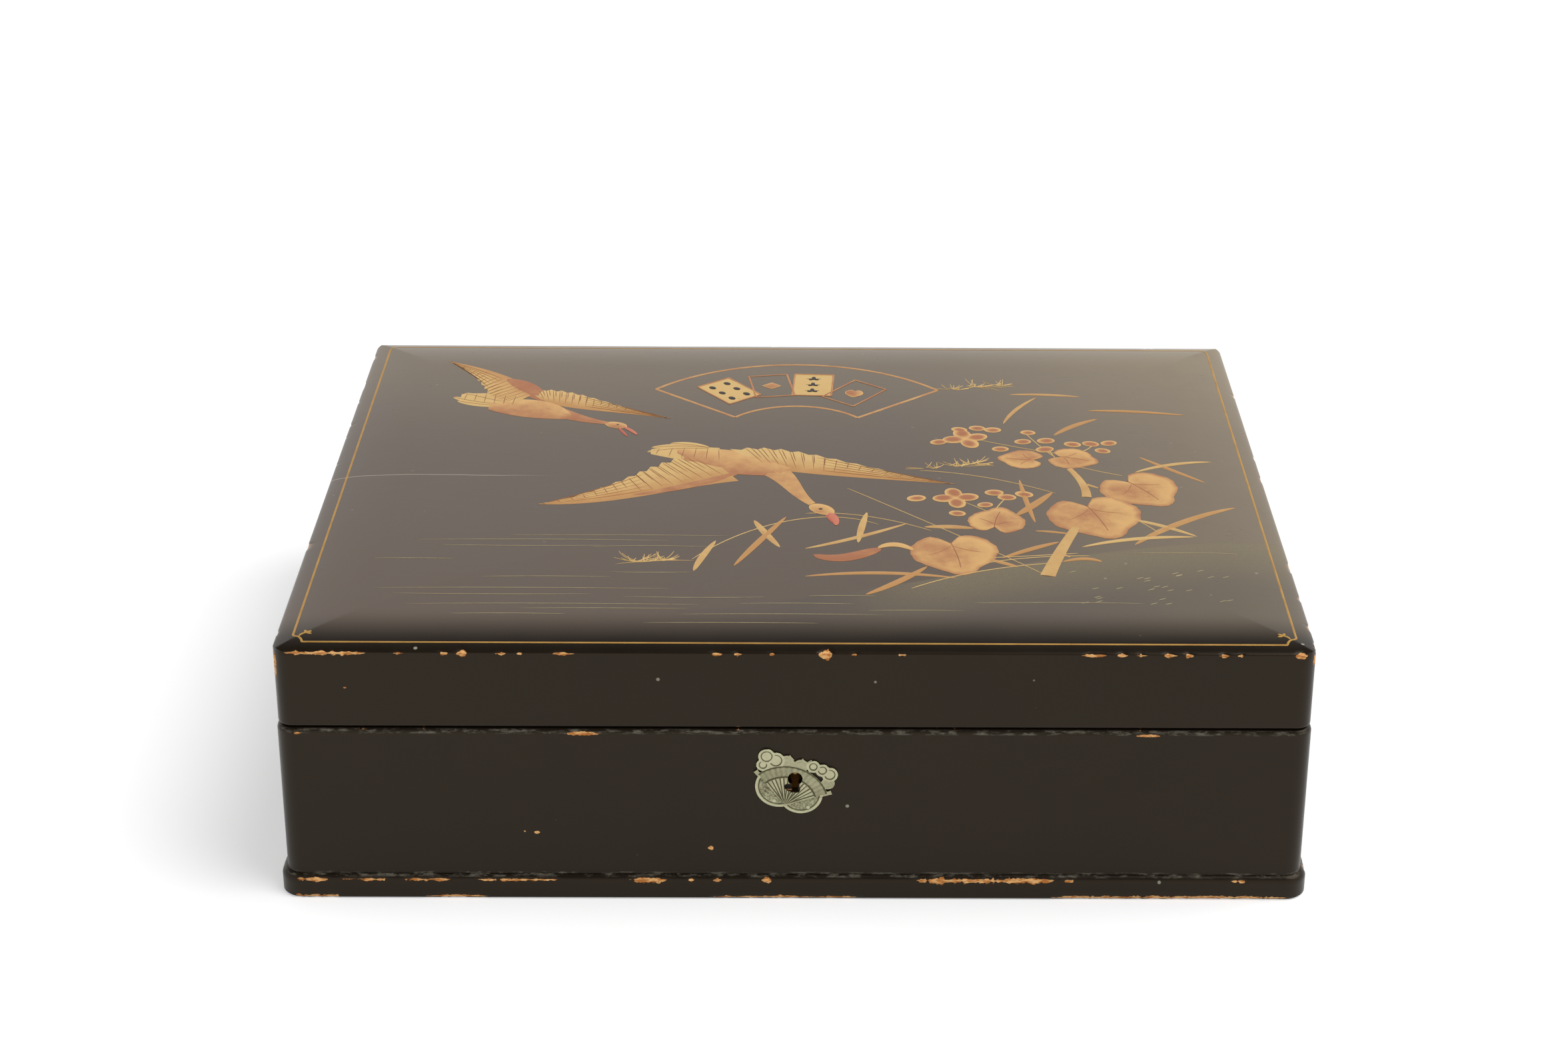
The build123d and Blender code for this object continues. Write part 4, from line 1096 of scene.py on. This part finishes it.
def arc(radius):
    """A ribbon along a circle about the fan's centre, from one side of the fan to the other."""

    def rule(u, v):
        here = on_fan(radius + v * fan_line_width / 2, fan_half_angle * u)
        return here.x, here.y, 1 - v * v, 0.5

    return laid(strip, rule)


fan_lines = [arc(fan_outer), arc(fan_inner)]
for angle in (-fan_half_angle, fan_half_angle):
    side_path = [on_fan(fan_inner, angle), on_fan(fan_outer, angle)]
    fan_lines.append(taper(side_path, fan_line_width, fan_line_width))


def card_point(middle, turn, x, y):
    """A place on a card, measured from its middle."""
    cosine, sine = math.cos(math.radians(-turn)), math.sin(math.radians(-turn))
    return middle + Vector((x * cosine - y * sine, x * sine + y * cosine))


def lozenge(angle):
    """Shape of a diamond."""
    radius = 1 / (abs(math.cos(angle)) + abs(math.sin(angle)))
    return radius, radius * 0.8


def club(angle):
    """Shape of a three-lobed pip."""
    radius = 0.72 + 0.3 * math.cos(3 * angle)
    return radius, radius


dark, pip_gold = (0.2, 0.2, 0.3), (0.3, 0.5, 0.9)
cards = ((54, -30, -38, True), (53, -11, -9, False), (53.5, 7, 3, True), (50.5, 27, 38, False))
half_card = Vector((card_width / 2, card_height / 2))
card_faces, card_lines, pips, gold_pips = [], [], [], []
for radius, angle, turn, filled in cards:
    middle = on_fan(radius, angle)
    corners = [card_point(middle, turn, x * half_card.x, y * half_card.y) for x, y in corner_signs]
    if filled:
        card_faces.append(band([corners[0], corners[1]], [corners[3], corners[2]], (0.8, 0.9)))
    for start, end in zip(corners, corners[1:] + corners[:1]):
        card_lines.append(taper([start, end], 0.8, 0.8, 0.35, 2))
    if filled and turn < 0:
        spots = [(x, y) for x in (-3.6, 3.6) for y in (-6.5, 0, 6.5)]
        pips += [patch(card_point(middle, turn, x, y), 1.7, 90 - turn, petal, dark, 3) for x, y in spots]
    elif filled:
        pips += [patch(card_point(middle, turn, 0, y), 2.2, 90, club, dark, 3) for y in (-6, 0, 6)]
        pips += [stroke([card_point(middle, turn, x, y) for x in (-3, 3)], 0.6, 0.2, 3) for y in (-6, 0, 6)]
    elif turn < 0:
        gold_pips.append(patch(middle, 4.0, 0, lozenge, pip_gold, 2))
    else:
        gold_pips.append(patch(middle, 3.6, -100, heart_leaf, pip_gold, 2))
gathered("fan_outline", fan_lines + card_lines, gold_powder)
gathered("filled_cards", card_faces, pale_gold)
gathered("dark_pips", pips, ink)
gathered("gold_pips", gold_pips, gold_powder)

# %% [markdown]
# ## Box lids
#
# The photograph shows the case shut, so the look of its inside is a guess: each box lid has a thin
# gold border and a sprig of the same leaves and berries, in the same hand as the lid.

# %% Box lids
box_border = 7  # from a box lid's edge to its line


def on_box(x, y):
    """A place on the box lid in hand, measured from its middle, and mirrored on the right."""
    return middle.x + away * x, middle.y + y


def flat_top(x, y):
    """Height of the box lid in hand."""
    return high.z


for n in range(1, 5):
    low, high = (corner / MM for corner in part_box(f"card_box_lid_{n}"))
    middle, half = (low + high) / 2, (high - low) / 2 - Vector((box_border, box_border, 0))
    away = 1 if middle.x < 0 else -1
    corners = [(middle.x + a * half.x, middle.y + b * half.y) for a, b in corner_signs]
    sprig = []
    for a, b in zip(corners, corners[1:] + corners[:1]):
        sprig.append(stroke([a, b], 0.7, 0.6, 0, 0.05, level=flat_top))
    for end, size in ((on_box(4, 6), 12), (on_box(-14, 14), 8), (on_box(20, -6), 7)):
        sprig.append(stroke([on_box(-26, -26), on_box(-14, -6), end], 1.1, 0.5, 0, 0.3, level=flat_top))
        sprig.append(patch(end, size, away * 40 + 20, heart_leaf, leaf_tones, 1, flat_top))
    for m in range(5):
        berry = on_box(22 + 4 * m % 9, 18 + 3.4 * m)
        sprig.append(patch(berry, 2.4, 10 * m, petal, (0.05, 1.0, 1.2), 1, flat_top))
    gathered(f"box_sprig_{n}", sprig, gold_powder, f"card_box_lid_{n}")
for source in (strip, disc):
    bpy.data.objects.remove(source)

# %% [markdown]
# ## The escutcheon
#
# The metal around the keyhole was stamped from thin sheet: a folding fan over two round medallions,
# with clouds behind. Stamping leaves no sharp edge anywhere. So a copy of the CAD piece is merged,
# remeshed into small even faces and smoothed, and then its face is pressed up and down by a rule
# for each motif.

# %% Escutcheon
unit = 29.0 / 30  # the pattern is drawn 30 units wide on a piece of 29 mm
medallions = [(-5.7, -3.0, 8.4), (2.0, -6.2, 7.8)]
clouds = [
    (-10.0, 9.0, 3.0), (-11.3, 5.6, 2.4), (-6.8, 7.4, 3.2),
    (6.4, 4.9, 2.4), (9.6, 3.4, 2.5), (12.2, 1.7, 2.9),
]
fan_pivot, leaf_radius, stick_radius, stick_gaps = Vector((-3.6, -10.4)), 15.6, 11.2, 7
fan_start, fan_spread = 17, 110


def ridge(distance, width):
    """1 on a line, and less away from it."""
    return math.exp(-((distance / width) ** 2))


def stamped(x, y):
    """Height of the stamped pattern and how deep it lies in tarnish, at a place measured from the keyhole."""
    x, y = x / unit, y / unit
    out = Vector((x, y)) - fan_pivot
    radius, angle = out.length, math.degrees(math.atan2(out.y, out.x)) - fan_start
    if radius < leaf_radius and 0 < angle < fan_spread:
        rings = ridge(radius - stick_radius, 0.3) + ridge(radius - leaf_radius + 0.3, 0.3)
        if radius > stick_radius:
            fold = math.cos(math.tau * angle / fan_spread * 2 * stick_gaps)
            return 0.03 * fold - 0.06 * rings, 0.3 + 0.05 * fold + 0.5 * rings
        off = (angle / fan_spread * stick_gaps + 0.5) % 1 - 0.5
        aside = abs(off) * math.radians(fan_spread / stick_gaps) * radius
        edge = ridge(aside - 0.2 - 0.045 * radius, 0.22)
        between = min(1.0, max(0.0, aside - 0.6 - 0.02 * radius))
        return -0.08 * edge, 0.8 * max(edge, rings) + 0.3 * between
    for cx, cy, size in clouds:
        gap = size - math.hypot(x - cx, y - cy)
        if gap > 0:
            line = ridge(gap - 1.1, 0.2)
            return 0.08 * (1 - line), 0.8 * line
    for cx, cy, size in medallions:
        gap = size - math.hypot(x - cx, y - cy)
        if gap > 0:
            line = ridge(gap - 1.3, 0.25)
            dots = noise.noise(Vector((x * 1.5, y * 1.5, size)))
            return 0.06 * dots - 0.05 * line, (0.85 * line if gap < 1.6 else 0.35 - 0.3 * dots)
    return 0.0, 0.2


deselect()
escutcheon = bpy.data.objects.new("stamped_escutcheon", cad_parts["escutcheon"].data.copy())
bpy.context.scene.collection.objects.link(escutcheon)
escutcheon.select_set(True)
bpy.context.view_layer.objects.active = escutcheon
bpy.ops.object.mode_set(mode="EDIT")
bpy.ops.mesh.select_all(action="SELECT")
bpy.ops.mesh.remove_doubles(threshold=0.001 * MM)
bpy.ops.object.mode_set(mode="OBJECT")
bpy.ops.object.modifier_add(type="REMESH")
escutcheon.modifiers[0].mode = "VOXEL"
escutcheon.modifiers[0].voxel_size = 0.16 * MM
bpy.ops.object.modifier_apply(modifier=escutcheon.modifiers[0].name)
bpy.ops.object.modifier_add(type="SMOOTH")
escutcheon.modifiers[0].factor = 0.5
escutcheon.modifiers[0].iterations = 3
bpy.ops.object.modifier_apply(modifier=escutcheon.modifiers[0].name)
hollow = escutcheon.data.attributes.new("hollow", "FLOAT", "POINT")
facing_front = [vertex for vertex in escutcheon.data.vertices if vertex.normal.y < -0.4]
for vertex in facing_front:
    height, depth = stamped(vertex.co.x / MM, vertex.co.z / MM - key_level)
    vertex.co.y -= height * MM
    hollow.data[vertex.index].value = depth
bpy.ops.object.shade_smooth()
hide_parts("escutcheon")
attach(escutcheon, "case")
print("escutcheon has", len(escutcheon.data.polygons), "faces")

# %% [markdown]
# ## Floor and light
#
# The case stands on a white sweep in a studio. Its floor is a pale matt sheet that keeps the
# shadow, with a share of plain white added for the camera and for mirrors. The room is white too,
# but mirrors see it grow dark overhead, which is why the lid shines in its flat middle and turns
# black where it rounds over. One broad soft lamp high on the right, a sun with a wide disc, gives
# the shadow to the left, and the white room fills the rest.

# %% Floor and light
def seen_directly(finish):
    """1 for what the camera, a mirror or glass sees, and 0 for light that only falls on things."""
    kinds = ("Is Camera Ray", "Is Glossy Ray", "Is Transmission Ray")
    rays = [finish.node("LightPath", {}, {}, kind) for kind in kinds]
    return rays[0].most(rays[1]).most(rays[2])


floor = blank(bpy.ops.mesh.primitive_plane_add, size=12, location=(0, 0, -0.0002))
floor.name = "floor"
sweep = Finish("white_sweep")
bleach = mixed(sweep, seen_directly(sweep), (0, 0, 0, 1), (0.37, 0.37, 0.37, 1))
sweep.wear(base_color=colour(236, 236, 236), roughness=0.9, emission_color=bleach, emission_strength=1.0)
sweep.wear(specular_ior_level=0.0)
floor.data.materials.append(sweep.material)

world = bpy.data.worlds.new("white_room")
bpy.context.scene.world = world
world.use_nodes = True
room = Finish.__new__(Finish)
room.nodes, room.links = world.node_tree.nodes, world.node_tree.links
room.plug(room.nodes["Background"].inputs["Color"], (1, 1, 1, 1))
fill, overhead = 0.5, 0.16
direction = room.node("TexCoord", {}, {}, "Generated")
upwards = step(room, room.node("SeparateXYZ", {}, {0: direction}, 2), 0.44, 0.76)
mirrored = room.node("LightPath", {}, {}, "Is Glossy Ray")
white = seen_directly(room) * (1 - fill) + fill
room.plug(room.nodes["Background"].inputs["Strength"], white - mirrored * upwards * (1 - overhead))

towards_lamp = Vector((1.0, -0.12, 1.5))
bpy.ops.object.light_add(type="SUN", rotation=towards_lamp.to_track_quat("Z", "Y").to_euler())
key = bpy.context.object
key.name = "key_lamp"
key.data.energy = 1.9
key.data.angle = math.radians(50)
print("lamp shines down along", [round(c, 2) for c in key.matrix_world.col[2][:3]])
